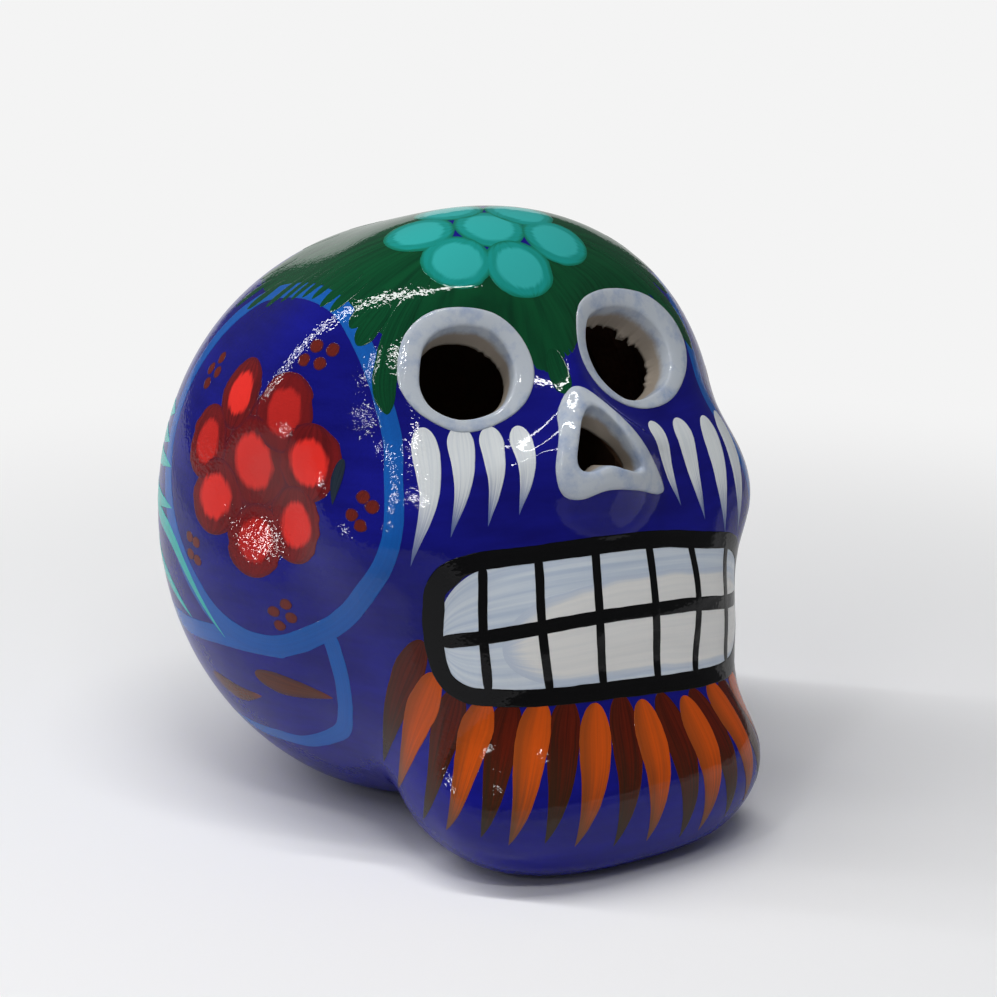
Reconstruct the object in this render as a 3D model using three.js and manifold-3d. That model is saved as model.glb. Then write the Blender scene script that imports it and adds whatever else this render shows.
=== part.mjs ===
// Hollow clay skull for the Day of the Dead: two press-moulded half shells, luted together on a plane across the
// head, a roll of clay behind that seam, and a raised clay lip round each eye hole and round the nose hole.
// Millimetres, +Z up, the face towards -Y, +X on the right of someone who looks at the face.
// The origin is on the surface that the skull stands on, under the middle of its bounding box.

import * as THREE from 'three';
import { mergeVertices } from 'three/addons/utils/BufferGeometryUtils.js';
import Module from 'manifold-3d';

// Driving dimensions: the braincase, which the other swellings are placed from.
const CRANIUM_HALF_WIDTH = 46.4;
const CRANIUM_HALF_LENGTH = 49;
const CRANIUM_HALF_HEIGHT = 46;
const CRANIUM_HEIGHT = 50.4;

// The lower back of the head.
const OCCIPUT_HALF_WIDTH = 41;
const OCCIPUT_HALF_LENGTH = 41;
const OCCIPUT_HALF_HEIGHT = 38.6;
const OCCIPUT_BACK = 1.9;
const OCCIPUT_HEIGHT = 36.2;
const OCCIPUT_BLEND = 13;

// The forehead, which carries the eyes.
const FOREHEAD_HALF_WIDTH = 36.6;
const FOREHEAD_HALF_LENGTH = 20;
const FOREHEAD_HALF_HEIGHT = 29;
const FOREHEAD_FORWARD = 15;
const FOREHEAD_HEIGHT = 69;
const FOREHEAD_BLEND = 15;

// The cheekbones, one on each side.
const CHEEK_RADIUS = 10.6;
const CHEEK_OUT = 26.9;
const CHEEK_FORWARD = 33.1;
const CHEEK_HEIGHT = 52.8;
const CHEEK_BLEND = 10.7;

// The muzzle, which carries the two rows of teeth, squarer than an ellipse seen from above.
const MUZZLE_HALF_WIDTH = 31.4;
const MUZZLE_HALF_LENGTH = 21.6;
const MUZZLE_HALF_HEIGHT = 28.1;
const MUZZLE_FORWARD = 33.7;
const MUZZLE_HEIGHT = 29.9;
const MUZZLE_SQUARENESS = 2.6;
const MUZZLE_BLEND = 11;

// The jaw with its heavy chin.
const JAW_HALF_WIDTH = 30.4;
const JAW_HALF_LENGTH = 20.4;
const JAW_HALF_HEIGHT = 17.5;
const JAW_FORWARD = 43.6;
const JAW_HEIGHT = 13.2;
const JAW_SQUARENESS = 2.5;
const JAW_BLEND = 7.6;

// The swelling that lifts the lower edge of the nose.
const NOSE_HALF_WIDTH = 10;
const NOSE_HALF_LENGTH = 8;
const NOSE_HALF_HEIGHT = 9;
const NOSE_SUNK = 3.6;
const NOSE_BLEND = 6;

// The foot is flattened where the clay stood to dry, with a softened edge.
const FOOT_EDGE = 5;
const FOOT_TRIM = 0.8;

// The shell and the roll of clay inside its seam.
const WALL = 4;
const COIL_WIDTH = 8;
const COIL_THICKNESS = 2.5;
const CLEARANCE = 0.3;

// The eyes: a shallow dish, the hole in it, and the raised lip round the hole.
const EYE_OUT = 16.5;
const EYE_HEIGHT = 79;
const EYE_TURN_DEGREES = 12;
const EYE_TILT_DEGREES = 28;
const EYE_HOLE_WIDTH = 15;
const EYE_HOLE_HEIGHT = 11.6;
const EYE_LIP_WIDTH = 4.5;
const EYE_LIP_PROUD = 1.5;
const EYE_DISH_MARGIN = 2;
const EYE_DISH_DEPTH = 3.2;
const EYE_DISH_EDGE = 3;

// The nose hole, a triangle with round corners, and its lip.
const NOSE_HEIGHT = 67;
const NOSE_TILT_DEGREES = 22;
const NOSE_HOLE_WIDTH = 9.8;
const NOSE_HOLE_HEIGHT = 9.4;
const NOSE_HOLE_CORNER = 1.4;
const NOSE_LIP_WIDTH = 4.4;
const NOSE_LIP_PROUD = 2;

// The point, well inside the head, that every surface is seen from when it is meshed.
const HEART_FORWARD = 9.5;
const HEART_HEIGHT = 40;

// How finely the surfaces are divided, and how far the cutting prisms reach to each side of the surface.
const OUTER_DETAIL = 13;
const INNER_DETAIL = 8;
const EYE_OUTLINE_STEPS = 16;
const NOSE_CORNER_STEPS = 4;
const PRISM_REACH = 16;
const MARCH_STEP = 0.5;
const BISECTIONS = 24;
const WELD = 1e-5;
const SMALLEST = 1e-6;

// A length from the middle of the braincase that no clay reaches.
const REACH = CRANIUM_HALF_LENGTH + JAW_FORWARD + JAW_HALF_LENGTH;

const wasm = await Module();
wasm.setup();

const clayPaintedBlue = { color: '#1f1d78', roughness: 0.25, metalness: 0 };
const clayPaintedWhite = { color: '#e4e6ea', roughness: 0.3, metalness: 0 };
const clayBare = { color: '#b98f72', roughness: 0.9, metalness: 0 };

// Each swelling is an ellipsoid, or a squarer body, given by its centre, its half sizes and the width of its blend.
const cranium = {
  centre: [0, 0, CRANIUM_HEIGHT],
  half: [CRANIUM_HALF_WIDTH, CRANIUM_HALF_LENGTH, CRANIUM_HALF_HEIGHT],
  squareness: 2,
};
const swellings = [
  {
    centre: [0, OCCIPUT_BACK, OCCIPUT_HEIGHT],
    half: [OCCIPUT_HALF_WIDTH, OCCIPUT_HALF_LENGTH, OCCIPUT_HALF_HEIGHT],
    squareness: 2,
    blend: OCCIPUT_BLEND,
  },
  {
    centre: [0, -FOREHEAD_FORWARD, FOREHEAD_HEIGHT],
    half: [FOREHEAD_HALF_WIDTH, FOREHEAD_HALF_LENGTH, FOREHEAD_HALF_HEIGHT],
    squareness: 2,
    blend: FOREHEAD_BLEND,
  },
  {
    centre: [CHEEK_OUT, -CHEEK_FORWARD, CHEEK_HEIGHT],
    half: [CHEEK_RADIUS, CHEEK_RADIUS, CHEEK_RADIUS],
    squareness: 2,
    blend: CHEEK_BLEND,
  },
  {
    centre: [0, -MUZZLE_FORWARD, MUZZLE_HEIGHT],
    half: [MUZZLE_HALF_WIDTH, MUZZLE_HALF_LENGTH, MUZZLE_HALF_HEIGHT],
    squareness: MUZZLE_SQUARENESS,
    blend: MUZZLE_BLEND,
  },
  {
    centre: [0, -JAW_FORWARD, JAW_HEIGHT],
    half: [JAW_HALF_WIDTH, JAW_HALF_LENGTH, JAW_HALF_HEIGHT],
    squareness: JAW_SQUARENESS,
    blend: JAW_BLEND,
  },
];

const heart = new THREE.Vector3(0, -HEART_FORWARD, HEART_HEIGHT);

// Distance of a point to a swelling, about true near its surface and negative inside it.
function distanceToSwelling(x, y, z, { centre, half, squareness }) {
  const a = Math.abs(x - centre[0]) / half[0] + SMALLEST;
  const b = Math.abs(y - centre[1]) / half[1] + SMALLEST;
  const c = Math.abs(z - centre[2]) / half[2] + SMALLEST;
  const plan = (a ** squareness + b ** squareness) ** (1 / squareness);
  const size = Math.hypot(plan, c);
  const slopeX = ((plan / size) * (a / plan) ** (squareness - 1)) / half[0];
  const slopeY = ((plan / size) * (b / plan) ** (squareness - 1)) / half[1];
  const slopeZ = c / size / half[2];
  return (size - 1) / Math.hypot(slopeX, slopeY, slopeZ);
}

// Union of two distances with a soft valley, and its opposite, a cut with a soft edge.
function softUnion(a, b, blend) {
  const h = Math.max(blend - Math.abs(a - b), 0) / blend;
  return Math.min(a, b) - (h * h * blend) / 4;
}
function softCut(a, b, edge) {
  return -softUnion(-a, -b, edge);
}

// A frame on the surface: its origin, the way out of the clay, and the directions across and up.
function frameAlong(turnDegrees, tiltDegrees) {
  const turn = THREE.MathUtils.degToRad(turnDegrees);
  const tilt = THREE.MathUtils.degToRad(tiltDegrees);
  const out = new THREE.Vector3(
    Math.sin(turn) * Math.cos(tilt),
    -Math.cos(turn) * Math.cos(tilt),
    Math.sin(tilt),
  );
  const across = new THREE.Vector3(0, 0, 1).cross(out).normalize();
  const up = new THREE.Vector3().crossVectors(out, across);
  return { across, up, out, origin: new THREE.Vector3() };
}

// The place on a form, straight in from the front, at a height and a distance to the side.
function frontOfForm(distance, x, z) {
  const point = new THREE.Vector3(x, 0, z);
  let near = -REACH;
  while (distance(x, near, z) > 0 && near < 0) near += MARCH_STEP;
  let far = near - MARCH_STEP;
  for (let i = 0; i < BISECTIONS; i += 1) {
    const middle = (near + far) / 2;
    if (distance(x, middle, z) > 0) far = middle;
    else near = middle;
  }
  return point.setY(near);
}

// The head before the eyes and the nose.
function bareHead(x, y, z) {
  const side = Math.abs(x);
  let d = distanceToSwelling(side, y, z, cranium);
  for (const swelling of swellings) {
    d = softUnion(d, distanceToSwelling(side, y, z, swelling), swelling.blend);
  }
  return softCut(d, -z - FOOT_TRIM, FOOT_EDGE);
}

const noseFrame = frameAlong(0, NOSE_TILT_DEGREES);
noseFrame.origin.copy(frontOfForm(bareHead, 0, NOSE_HEIGHT));
const noseSwelling = {
  centre: [0, noseFrame.origin.y + NOSE_SUNK, NOSE_HEIGHT - NOSE_HOLE_HEIGHT / 2],
  half: [NOSE_HALF_WIDTH, NOSE_HALF_LENGTH, NOSE_HALF_HEIGHT],
  squareness: 2,
};
const eyeFrame = frameAlong(EYE_TURN_DEGREES, EYE_TILT_DEGREES);
eyeFrame.origin.copy(frontOfForm(bareHead, EYE_OUT, EYE_HEIGHT));
const eyeDish = {
  centre: [0, 0, 0],
  half: [
    EYE_HOLE_WIDTH / 2 + EYE_LIP_WIDTH + EYE_DISH_MARGIN,
    EYE_DISH_DEPTH,
    EYE_HOLE_HEIGHT / 2 + EYE_LIP_WIDTH + EYE_DISH_MARGIN,
  ],
  squareness: 2,
};

// The whole outer form: the head, the nose swelling, and a dish for each eye.
function skullForm(x, y, z) {
  const nose = distanceToSwelling(x, y, z, noseSwelling);
  const head = softUnion(bareHead(x, y, z), nose, NOSE_BLEND);
  const { across, out, up, origin } = eyeFrame;
  const p = new THREE.Vector3(Math.abs(x), y, z).sub(origin);
  const dish = distanceToSwelling(p.dot(across), p.dot(out), p.dot(up), eyeDish);
  return softCut(head, -dish, EYE_DISH_EDGE);
}

// Geometry with positions only and its shared vertices merged, and the solid that it bounds, for cutting and joining.
function welded(geometry) {
  geometry.deleteAttribute('normal');
  geometry.deleteAttribute('uv');
  return mergeVertices(geometry, WELD);
}
function solidFrom(geometry) {
  const { attributes, index } = welded(geometry);
  return new wasm.Manifold(
    new wasm.Mesh({
      numProp: 3,
      vertProperties: new Float32Array(attributes.position.array),
      triVerts: new Uint32Array(index.array),
    }),
  );
}

// The form grown by an offset, or shrunk by a negative one, meshed from directions all round the heart.
function formSolid(offset, detail) {
  const sphere = welded(new THREE.IcosahedronGeometry(1, detail));
  const position = sphere.attributes.position;
  const way = new THREE.Vector3();
  const distance = (t) => skullForm(heart.x + way.x * t, heart.y + way.y * t, heart.z + way.z * t) - offset;
  for (let i = 0; i < position.count; i += 1) {
    way.fromBufferAttribute(position, i).normalize();
    let inside = REACH;
    while (distance(inside) > 0) inside -= MARCH_STEP;
    let outside = inside + MARCH_STEP;
    for (let k = 0; k < BISECTIONS; k += 1) {
      const middle = (inside + outside) / 2;
      if (distance(middle) > 0) outside = middle;
      else inside = middle;
    }
    way.multiplyScalar(inside).add(heart);
    position.setXYZ(i, way.x, way.y, way.z);
  }
  return solidFrom(sphere);
}

// A block between two levels of Y and above a level of Z, wide enough to hold the whole head.
function block(fromY, toY, fromZ) {
  const geometry = new THREE.BoxGeometry(2 * REACH, toY - fromY, 2 * REACH);
  geometry.translate(0, (fromY + toY) / 2, fromZ + REACH);
  return solidFrom(geometry);
}

// A straight prism of an outline, along a frame's way out, reaching to both sides of its origin.
function prism(outline, steps, frame, mirrored) {
  const geometry = new THREE.ExtrudeGeometry(outline, {
    depth: 2 * PRISM_REACH,
    bevelEnabled: false,
    curveSegments: steps,
  });
  geometry.translate(0, 0, -PRISM_REACH);
  const place = new THREE.Matrix4().makeBasis(frame.across, frame.up, frame.out).setPosition(frame.origin);
  geometry.applyMatrix4(place);
  return mirrored ? solidFrom(geometry).mirror([1, 0, 0]) : solidFrom(geometry);
}

// The eye's outline, grown outwards by a margin.
function eyeOutline(margin) {
  const outline = new THREE.Shape();
  outline.absellipse(0, 0, EYE_HOLE_WIDTH / 2 + margin, EYE_HOLE_HEIGHT / 2 + margin, 0, 2 * Math.PI);
  return outline;
}

// The nose's outline, a triangle with its point up and round corners, grown outwards by a margin.
function noseOutline(margin) {
  const corner = NOSE_HOLE_CORNER + margin;
  const side = NOSE_HOLE_WIDTH / 2 - NOSE_HOLE_CORNER;
  const top = NOSE_HOLE_HEIGHT / 2 - NOSE_HOLE_CORNER;
  const lean = Math.atan2(2 * top, side);
  const outline = new THREE.Shape();
  outline.absarc(side, -top, corner, -Math.PI / 2, Math.PI / 2 - lean, false);
  outline.absarc(0, top, corner, Math.PI / 2 - lean, Math.PI / 2 + lean, false);
  outline.absarc(-side, -top, corner, Math.PI / 2 + lean, (3 * Math.PI) / 2, false);
  outline.closePath();
  return outline;
}

// The shell with its three holes.
const outerForm = formSolid(0, OUTER_DETAIL);
const innerForm = formSolid(-WALL, INNER_DETAIL);
const shell = outerForm
  .intersect(block(-REACH, REACH, 0))
  .subtract(innerForm)
  .subtract(prism(eyeOutline(0), EYE_OUTLINE_STEPS, eyeFrame, false))
  .subtract(prism(eyeOutline(0), EYE_OUTLINE_STEPS, eyeFrame, true))
  .subtract(prism(noseOutline(0), NOSE_CORNER_STEPS, noseFrame, false));

// The seam runs round the widest part of the braincase, so that each half leaves its mould.
const SEAM = 0;
const faceHalf = shell.intersect(block(-REACH, SEAM, 0));
const backHalf = shell.intersect(block(SEAM, REACH, 0));
const seamCoil = formSolid(-WALL - CLEARANCE, INNER_DETAIL)
  .subtract(formSolid(-WALL - CLEARANCE - COIL_THICKNESS, INNER_DETAIL))
  .intersect(block(SEAM - COIL_WIDTH / 2, SEAM + COIL_WIDTH / 2, 0));

// A lip is a ring of the surface round its hole, laid on the shell.
const lipBed = formSolid(CLEARANCE, OUTER_DETAIL);
const eyeLipTop = formSolid(CLEARANCE + EYE_LIP_PROUD, OUTER_DETAIL);
function eyeLip(mirrored) {
  return eyeLipTop
    .subtract(lipBed)
    .intersect(prism(eyeOutline(EYE_LIP_WIDTH), EYE_OUTLINE_STEPS, eyeFrame, mirrored))
    .subtract(prism(eyeOutline(0), EYE_OUTLINE_STEPS, eyeFrame, mirrored));
}
const noseLip = formSolid(CLEARANCE + NOSE_LIP_PROUD, OUTER_DETAIL)
  .subtract(lipBed)
  .intersect(prism(noseOutline(NOSE_LIP_WIDTH), NOSE_CORNER_STEPS, noseFrame, false))
  .subtract(prism(noseOutline(0), NOSE_CORNER_STEPS, noseFrame, false));

// The middle of the finished head, front to back, goes over the origin.
const box = shell.boundingBox();
const middle = (box.min[1] + box.max[1]) / 2;

function pieceMesh(name, solid, look) {
  const { vertProperties, triVerts } = solid.translate([0, -middle, 0]).getMesh();
  const geometry = new THREE.BufferGeometry();
  geometry.setAttribute('position', new THREE.BufferAttribute(new Float32Array(vertProperties), 3));
  geometry.setIndex(new THREE.BufferAttribute(new Uint32Array(triVerts), 1));
  geometry.computeVertexNormals();
  const mesh = new THREE.Mesh(geometry, new THREE.MeshStandardMaterial(look));
  mesh.name = name;
  return mesh;
}

const skull = new THREE.Group();
skull.add(pieceMesh('face_half', faceHalf, clayPaintedBlue));
skull.add(pieceMesh('back_half', backHalf, clayPaintedBlue));
skull.add(pieceMesh('seam_coil', seamCoil, clayBare));
skull.add(pieceMesh('right_eye_rim', eyeLip(true), clayPaintedWhite));
skull.add(pieceMesh('left_eye_rim', eyeLip(false), clayPaintedWhite));
skull.add(pieceMesh('nose_rim', noseLip, clayPaintedWhite));

export default skull;
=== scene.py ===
"""Looks of the painted clay skull: a varnished clay shell with white lips, and folk ornament in brush marks.

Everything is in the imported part's frame, +Z up with the face towards -Y. Sizes are in millimetres, and meshes
and the studio are in metres. "Right" and "left" are the skull's own, so its right side is at -X.
"""

import logging
import math
from dataclasses import dataclass, field
from enum import Enum
from functools import partial
from typing import Callable, Iterable, NamedTuple, Sequence

import bmesh
import bpy
import numpy as np
from mathutils import Matrix, Vector


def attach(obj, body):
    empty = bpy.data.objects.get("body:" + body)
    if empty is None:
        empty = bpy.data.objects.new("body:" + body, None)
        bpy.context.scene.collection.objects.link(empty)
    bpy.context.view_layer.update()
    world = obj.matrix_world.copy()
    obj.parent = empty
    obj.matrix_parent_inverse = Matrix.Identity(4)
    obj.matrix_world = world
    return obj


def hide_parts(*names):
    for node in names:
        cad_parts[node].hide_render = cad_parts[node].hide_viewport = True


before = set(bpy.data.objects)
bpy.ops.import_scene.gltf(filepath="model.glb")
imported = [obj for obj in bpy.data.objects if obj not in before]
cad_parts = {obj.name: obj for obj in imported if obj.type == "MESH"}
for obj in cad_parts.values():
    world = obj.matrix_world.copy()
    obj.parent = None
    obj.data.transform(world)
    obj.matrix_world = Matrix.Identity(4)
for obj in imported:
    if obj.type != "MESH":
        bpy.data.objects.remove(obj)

LOG = logging.getLogger("clay_skull")
MM = 0.001
BODY = "root"
SMALLEST = 1e-6
MATH = "ShaderNodeMath"
VECTOR_MATH = "ShaderNodeVectorMath"
NOISE = "ShaderNodeTexNoise"
MAP_RANGE = "ShaderNodeMapRange"
STORE = "GeometryNodeStoreNamedAttribute"
MIXED_COLOUR = 2  # Which output of a Mix node is the colour.
Points = np.ndarray
Outline = tuple[tuple[float, float], ...]


# Small tools

def linear_rgba(hex_colour: str) -> tuple[float, float, float, float]:
    """Turn an sRGB hex colour to linear light.

    Args:
        hex_colour: Six hex digits after a hash sign.

    Returns:
        Linear red, green, blue and an alpha of one.
    """
    parts = [int(hex_colour[i:i + 2], 16) / 255 for i in (1, 3, 5)]
    linear = [c / 12.92 if c <= 0.04045 else ((c + 0.055) / 1.055) ** 2.4 for c in parts]
    return (*linear, 1.0)


def per_metre(size_mm: float) -> float:
    """Scale of a texture whose features are this many millimetres across."""
    return 1 / (size_mm * MM)


def add_node(tree: bpy.types.NodeTree, kind: str, inputs: dict | Sequence = (), output: int | str = 0,
             **settings: object) -> bpy.types.NodeSocket | None:
    """Add a node with its settings, and link or set its inputs.

    Args:
        tree: The tree that gets the node.
        kind: The node's type name.
        inputs: Values or output sockets, in the order of the node's inputs or by their identifiers.
        output: Index or name of the output that is wanted.
        settings: Properties of the node itself.

    Returns:
        The wanted output, or nothing if the node has no outputs.
    """
    node = tree.nodes.new(kind)
    for name, value in settings.items():
        setattr(node, name, value)
    for key, value in (inputs if isinstance(inputs, dict) else dict(enumerate(inputs))).items():
        if isinstance(key, int):
            socket = node.inputs[key]
        else:
            socket = next(s for s in node.inputs if s.identifier == key)
        if isinstance(value, bpy.types.NodeSocket):
            tree.links.new(value, socket)
        else:
            socket.default_value = value
    return node.outputs[output] if len(node.outputs) else None


def empty_material(name: str) -> bpy.types.Material:
    """Make a node material with nothing in it.

    Args:
        name: Name of the material.

    Returns:
        The material.
    """
    material = bpy.data.materials.new(name)
    material.use_nodes = True
    material.node_tree.nodes.clear()
    return material


def mesh_from(name: str, vertices: Points, faces: Iterable[Sequence[int]],
              edges: Iterable = ()) -> bpy.types.Mesh:
    """Make a mesh from vertices in millimetres.

    Args:
        name: Name of the mesh.
        vertices: One row for each vertex.
        faces: Vertex numbers of each face.
        edges: Vertex numbers of each loose edge.

    Returns:
        The new mesh, in metres.
    """
    mesh = bpy.data.meshes.new(name)
    mesh.from_pydata((np.asarray(vertices) * MM).tolist(), list(edges), list(faces))
    mesh.update()
    return mesh


def object_from(mesh: bpy.types.Mesh) -> bpy.types.Object:
    """Put a mesh in the scene, as an object of the same name at the origin.

    Args:
        mesh: The mesh.

    Returns:
        The object.
    """
    made = bpy.data.objects.new(mesh.name, mesh)
    bpy.context.scene.collection.objects.link(made)
    return made


def remove_with_mesh(made: bpy.types.Object) -> None:
    """Remove an object and its mesh.

    Args:
        made: The object.
    """
    mesh = made.data
    bpy.data.objects.remove(made)
    bpy.data.meshes.remove(mesh)


def plain_copy(live: bpy.types.Object, name: str) -> bpy.types.Object:
    """Turn an object with live modifiers into one with a plain mesh, and remove the live one.

    Args:
        live: The object with modifiers.
        name: Name of the plain object.

    Returns:
        The plain object.
    """
    bpy.context.view_layer.update()
    depsgraph = bpy.context.evaluated_depsgraph_get()
    mesh = bpy.data.meshes.new_from_object(live.evaluated_get(depsgraph), depsgraph=depsgraph)
    remove_with_mesh(live)
    mesh.name = name
    return object_from(mesh)


def vertex_places(mesh: bpy.types.Mesh) -> Points:
    """Read the places of a mesh's vertices.

    Args:
        mesh: The mesh.

    Returns:
        One row for each vertex.
    """
    places = np.zeros(len(mesh.vertices) * 3)
    mesh.vertices.foreach_get("co", places)
    return places.reshape(-1, 3)


def face_outwards(mesh: bpy.types.Mesh) -> None:
    """Turn the faces of closed bodies round if the volume that they bound comes out negative.

    Args:
        mesh: The mesh of the bodies.
    """
    mesh.calc_loop_triangles()
    corners = np.zeros(len(mesh.loop_triangles) * 3, np.int32)
    mesh.loop_triangles.foreach_get("vertices", corners)
    a, b, c = vertex_places(mesh)[corners.reshape(-1, 3)].transpose(1, 0, 2)
    if np.einsum("ij,ij->i", a, np.cross(b, c)).sum() < 0:
        mesh.flip_normals()


def set_attribute(mesh: bpy.types.Mesh, name: str, values: Points) -> None:
    """Store one number for each vertex."""
    mesh.attributes.new(name, "FLOAT", "POINT").data.foreach_set("value", np.asarray(values, np.float32))


def dress(piece: bpy.types.Object, replaces: Sequence[str] = ()) -> None:
    """Make a finished piece ride on the skull.

    Args:
        piece: The finished piece.
        replaces: CAD nodes that the piece stands for.
    """
    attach(piece, BODY)
    if replaces:
        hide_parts(*replaces)
    LOG.info("%s has %d faces", piece.name, len(piece.data.polygons))


def closed_piece(mesh: bpy.types.Mesh, attributes: dict[str, Points],
                 material: bpy.types.Material) -> bpy.types.Object:
    """Finish the mesh of a smooth closed body and put it in the scene.

    Args:
        mesh: The mesh.
        attributes: Numbers for each vertex, by name.
        material: Its finish.

    Returns:
        The piece, which isn't dressed yet.
    """
    face_outwards(mesh)
    mesh.shade_smooth()
    for name, values in attributes.items():
        set_attribute(mesh, name, values)
    mesh.materials.append(material)
    return object_from(mesh)


# The form of the clay

@dataclass(frozen=True)
class Swelling:
    """An ellipsoid, or a body squarer than that in plan, which blends into its neighbours."""

    centre: tuple[float, float, float]
    half: tuple[float, float, float]
    blend: float = 0.0
    squareness: float = 2.0

    def distance(self, points: Points) -> Points:
        """Distance of points to the swelling, about true near its surface and negative inside.

        Args:
            points: One row for each point.

        Returns:
            One distance for each point.
        """
        n = self.squareness
        a, b, c = (np.abs(points - self.centre) / self.half + SMALLEST).T
        plan = np.hypot(a, b) if n == 2 else (a ** n + b ** n) ** (1 / n)
        size = np.hypot(plan, c)
        slope_x = plan / size * (a / plan) ** (n - 1) / self.half[0]
        slope_y = plan / size * (b / plan) ** (n - 1) / self.half[1]
        slope_z = c / size / self.half[2]
        return (size - 1) / np.sqrt(slope_x ** 2 + slope_y ** 2 + slope_z ** 2)


def soft_union(a: Points, b: Points, blend: float) -> Points:
    """Union of two distances with a soft valley between them."""
    h = np.maximum(blend - np.abs(a - b), 0) / blend
    return np.minimum(a, b) - h * h * blend / 4


def on_left(points: Points) -> Points:
    """Points brought over to the skull's left side."""
    return np.column_stack([np.abs(points[:, 0]), points[:, 1:]])


@dataclass(frozen=True)
class SurfaceFrame:
    """A place on the clay with its directions across, up and out."""

    origin: Points
    across: Points
    up: Points
    out: Points

    def at(self, across: Points, up: Points, out: Points | float) -> Points:
        """Points at distances across, up and out from the place."""
        steps = np.stack(np.broadcast_arrays(across, up, out), -1)
        return self.origin + steps @ np.stack([self.across, self.up, self.out])

    def mirrored(self) -> "SurfaceFrame":
        """The same place on the other side of the head, with across still towards the skull's left."""
        flip = np.array([-1.0, 1.0, 1.0])
        return SurfaceFrame(self.origin * flip, -self.across * flip, self.up * flip, self.out * flip)


@dataclass
class SkullForm:
    """The outer form of the clay, by the rule and sizes of the solids, with a dent at each temple."""

    braincase_y: float = 7.25
    cranium: Swelling = Swelling((0, 0, 50.4), (46.4, 49, 46))
    swellings: tuple[Swelling, ...] = (
        Swelling((0, 1.9, 36.2), (41, 41, 38.6), 13),
        Swelling((0, -15, 69), (36.6, 20, 29), 15),
        Swelling((26.9, -33.1, 52.8), (10.6, 10.6, 10.6), 10.7),
        Swelling((0, -33.7, 29.9), (31.4, 21.6, 28.1), 11, 2.6),
        Swelling((0, -43.6, 13.2), (30.4, 20.4, 17.5), 7.6, 2.5),
    )
    foot_edge: float = 5.0
    foot_trim: float = 0.8
    heart: tuple[float, float, float] = (0, -2.3, 40)
    eye_out: float = 16.5
    eye_height: float = 79.0
    eye_turn: float = 12.0
    eye_tilt: float = 28.0
    eye_dish: tuple[float, float, float] = (14.0, 3.2, 12.3)
    eye_dish_edge: float = 3.0
    nose_height: float = 67.0
    nose_tilt: float = 22.0
    nose_half: tuple[float, float, float] = (10, 8, 9)
    nose_sunk: float = 3.6
    nose_drop: float = 4.7
    nose_blend: float = 6.0
    temple: tuple[float, float] = (-9.0, 57.0)
    temple_depth: float = 2.2
    temple_reach: float = 9.0
    temple_from: float = 10.0
    temple_full: float = 30.0
    inset: float = 0.2
    eye: SurfaceFrame = field(init=False)
    nose: SurfaceFrame = field(init=False)

    # How a line is followed to the clay from outside, and from the heart.
    IN_FRONT = -90.0
    STEPS = 70
    STEP_SHARE = 0.6
    STEP_LEAST = -2.0
    STEP_MOST = 8.0
    NEAR_HEART = 8.0
    FAR_FROM_HEART = 90.0
    HALVINGS = 20

    def __post_init__(self) -> None:
        """Find the places of the eyes and the nose on the bare head."""
        self.eye = self._frame(self.eye_turn, self.eye_tilt, self.eye_out, self.eye_height)
        self.nose = self._frame(0, self.nose_tilt, 0, self.nose_height)

    def _frame(self, turn: float, tilt: float, x: float, z: float) -> SurfaceFrame:
        """Frame at the front of the bare head.

        Args:
            turn: Degrees that its way out is turned to the side.
            tilt: Degrees that its way out is tilted up.
            x: Distance to the side.
            z: Height.

        Returns:
            The frame.
        """
        turn, tilt = math.radians(turn), math.radians(tilt)
        out = np.array([math.sin(turn) * math.cos(tilt), -math.cos(turn) * math.cos(tilt), math.sin(tilt)])
        across = np.cross([0, 0, 1], out)
        across /= np.linalg.norm(across)
        origin = self.meet(np.array([[x, self.IN_FRONT, z]]), np.array([[0, 1.0, 0]]), self.bare)[0]
        return SurfaceFrame(origin, across, np.cross(out, across), out)

    def bare(self, points: Points) -> Points:
        """Distance to the head without its nose, its eye dishes and its temples.

        Args:
            points: One row for each point.

        Returns:
            One distance for each point.
        """
        p = on_left(points) - [0, self.braincase_y, 0]
        d = self.cranium.distance(p)
        for swelling in self.swellings:
            d = soft_union(d, swelling.distance(p), swelling.blend)
        return -soft_union(-d, p[:, 2] + self.foot_trim, self.foot_edge)

    def distance(self, points: Points) -> Points:
        """Distance to the whole outer form, a little inside the solids to leave room for the paint.

        Args:
            points: One row for each point.

        Returns:
            One distance for each point.
        """
        x, y, z = self.nose.origin
        nose = Swelling((x, y + self.nose_sunk, z - self.nose_drop), self.nose_half)
        d = soft_union(self.bare(points), nose.distance(points), self.nose_blend)
        axes = np.stack([self.eye.across, self.eye.out, self.eye.up], 1)
        from_eye = (on_left(points) - self.eye.origin) @ axes
        d = -soft_union(-d, Swelling((0, 0, 0), self.eye_dish).distance(from_eye), self.eye_dish_edge)
        apart = np.hypot(points[:, 1] - self.temple[0], points[:, 2] - self.temple[1]) / self.temple_reach
        aside = (np.abs(points[:, 0]) - self.temple_from) / (self.temple_full - self.temple_from)
        return d + self.inset + self.temple_depth * np.clip(aside, 0, 1) * np.exp(-apart ** 2)

    def meet(self, origins: Points, ways: Points, rule: Callable[[Points], Points] | None = None) -> Points:
        """First places where straight lines from outside reach the clay.

        Args:
            origins: Where the lines start.
            ways: Their directions, of length one.
            rule: Distance rule, the whole form if left out.

        Returns:
            One point for each line.
        """
        rule = rule or self.distance
        reach = np.zeros(len(origins))
        for _ in range(self.STEPS):
            step = rule(origins + ways * reach[:, None]) * self.STEP_SHARE
            reach += np.clip(step, self.STEP_LEAST, self.STEP_MOST)
        return origins + ways * reach[:, None]

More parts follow.
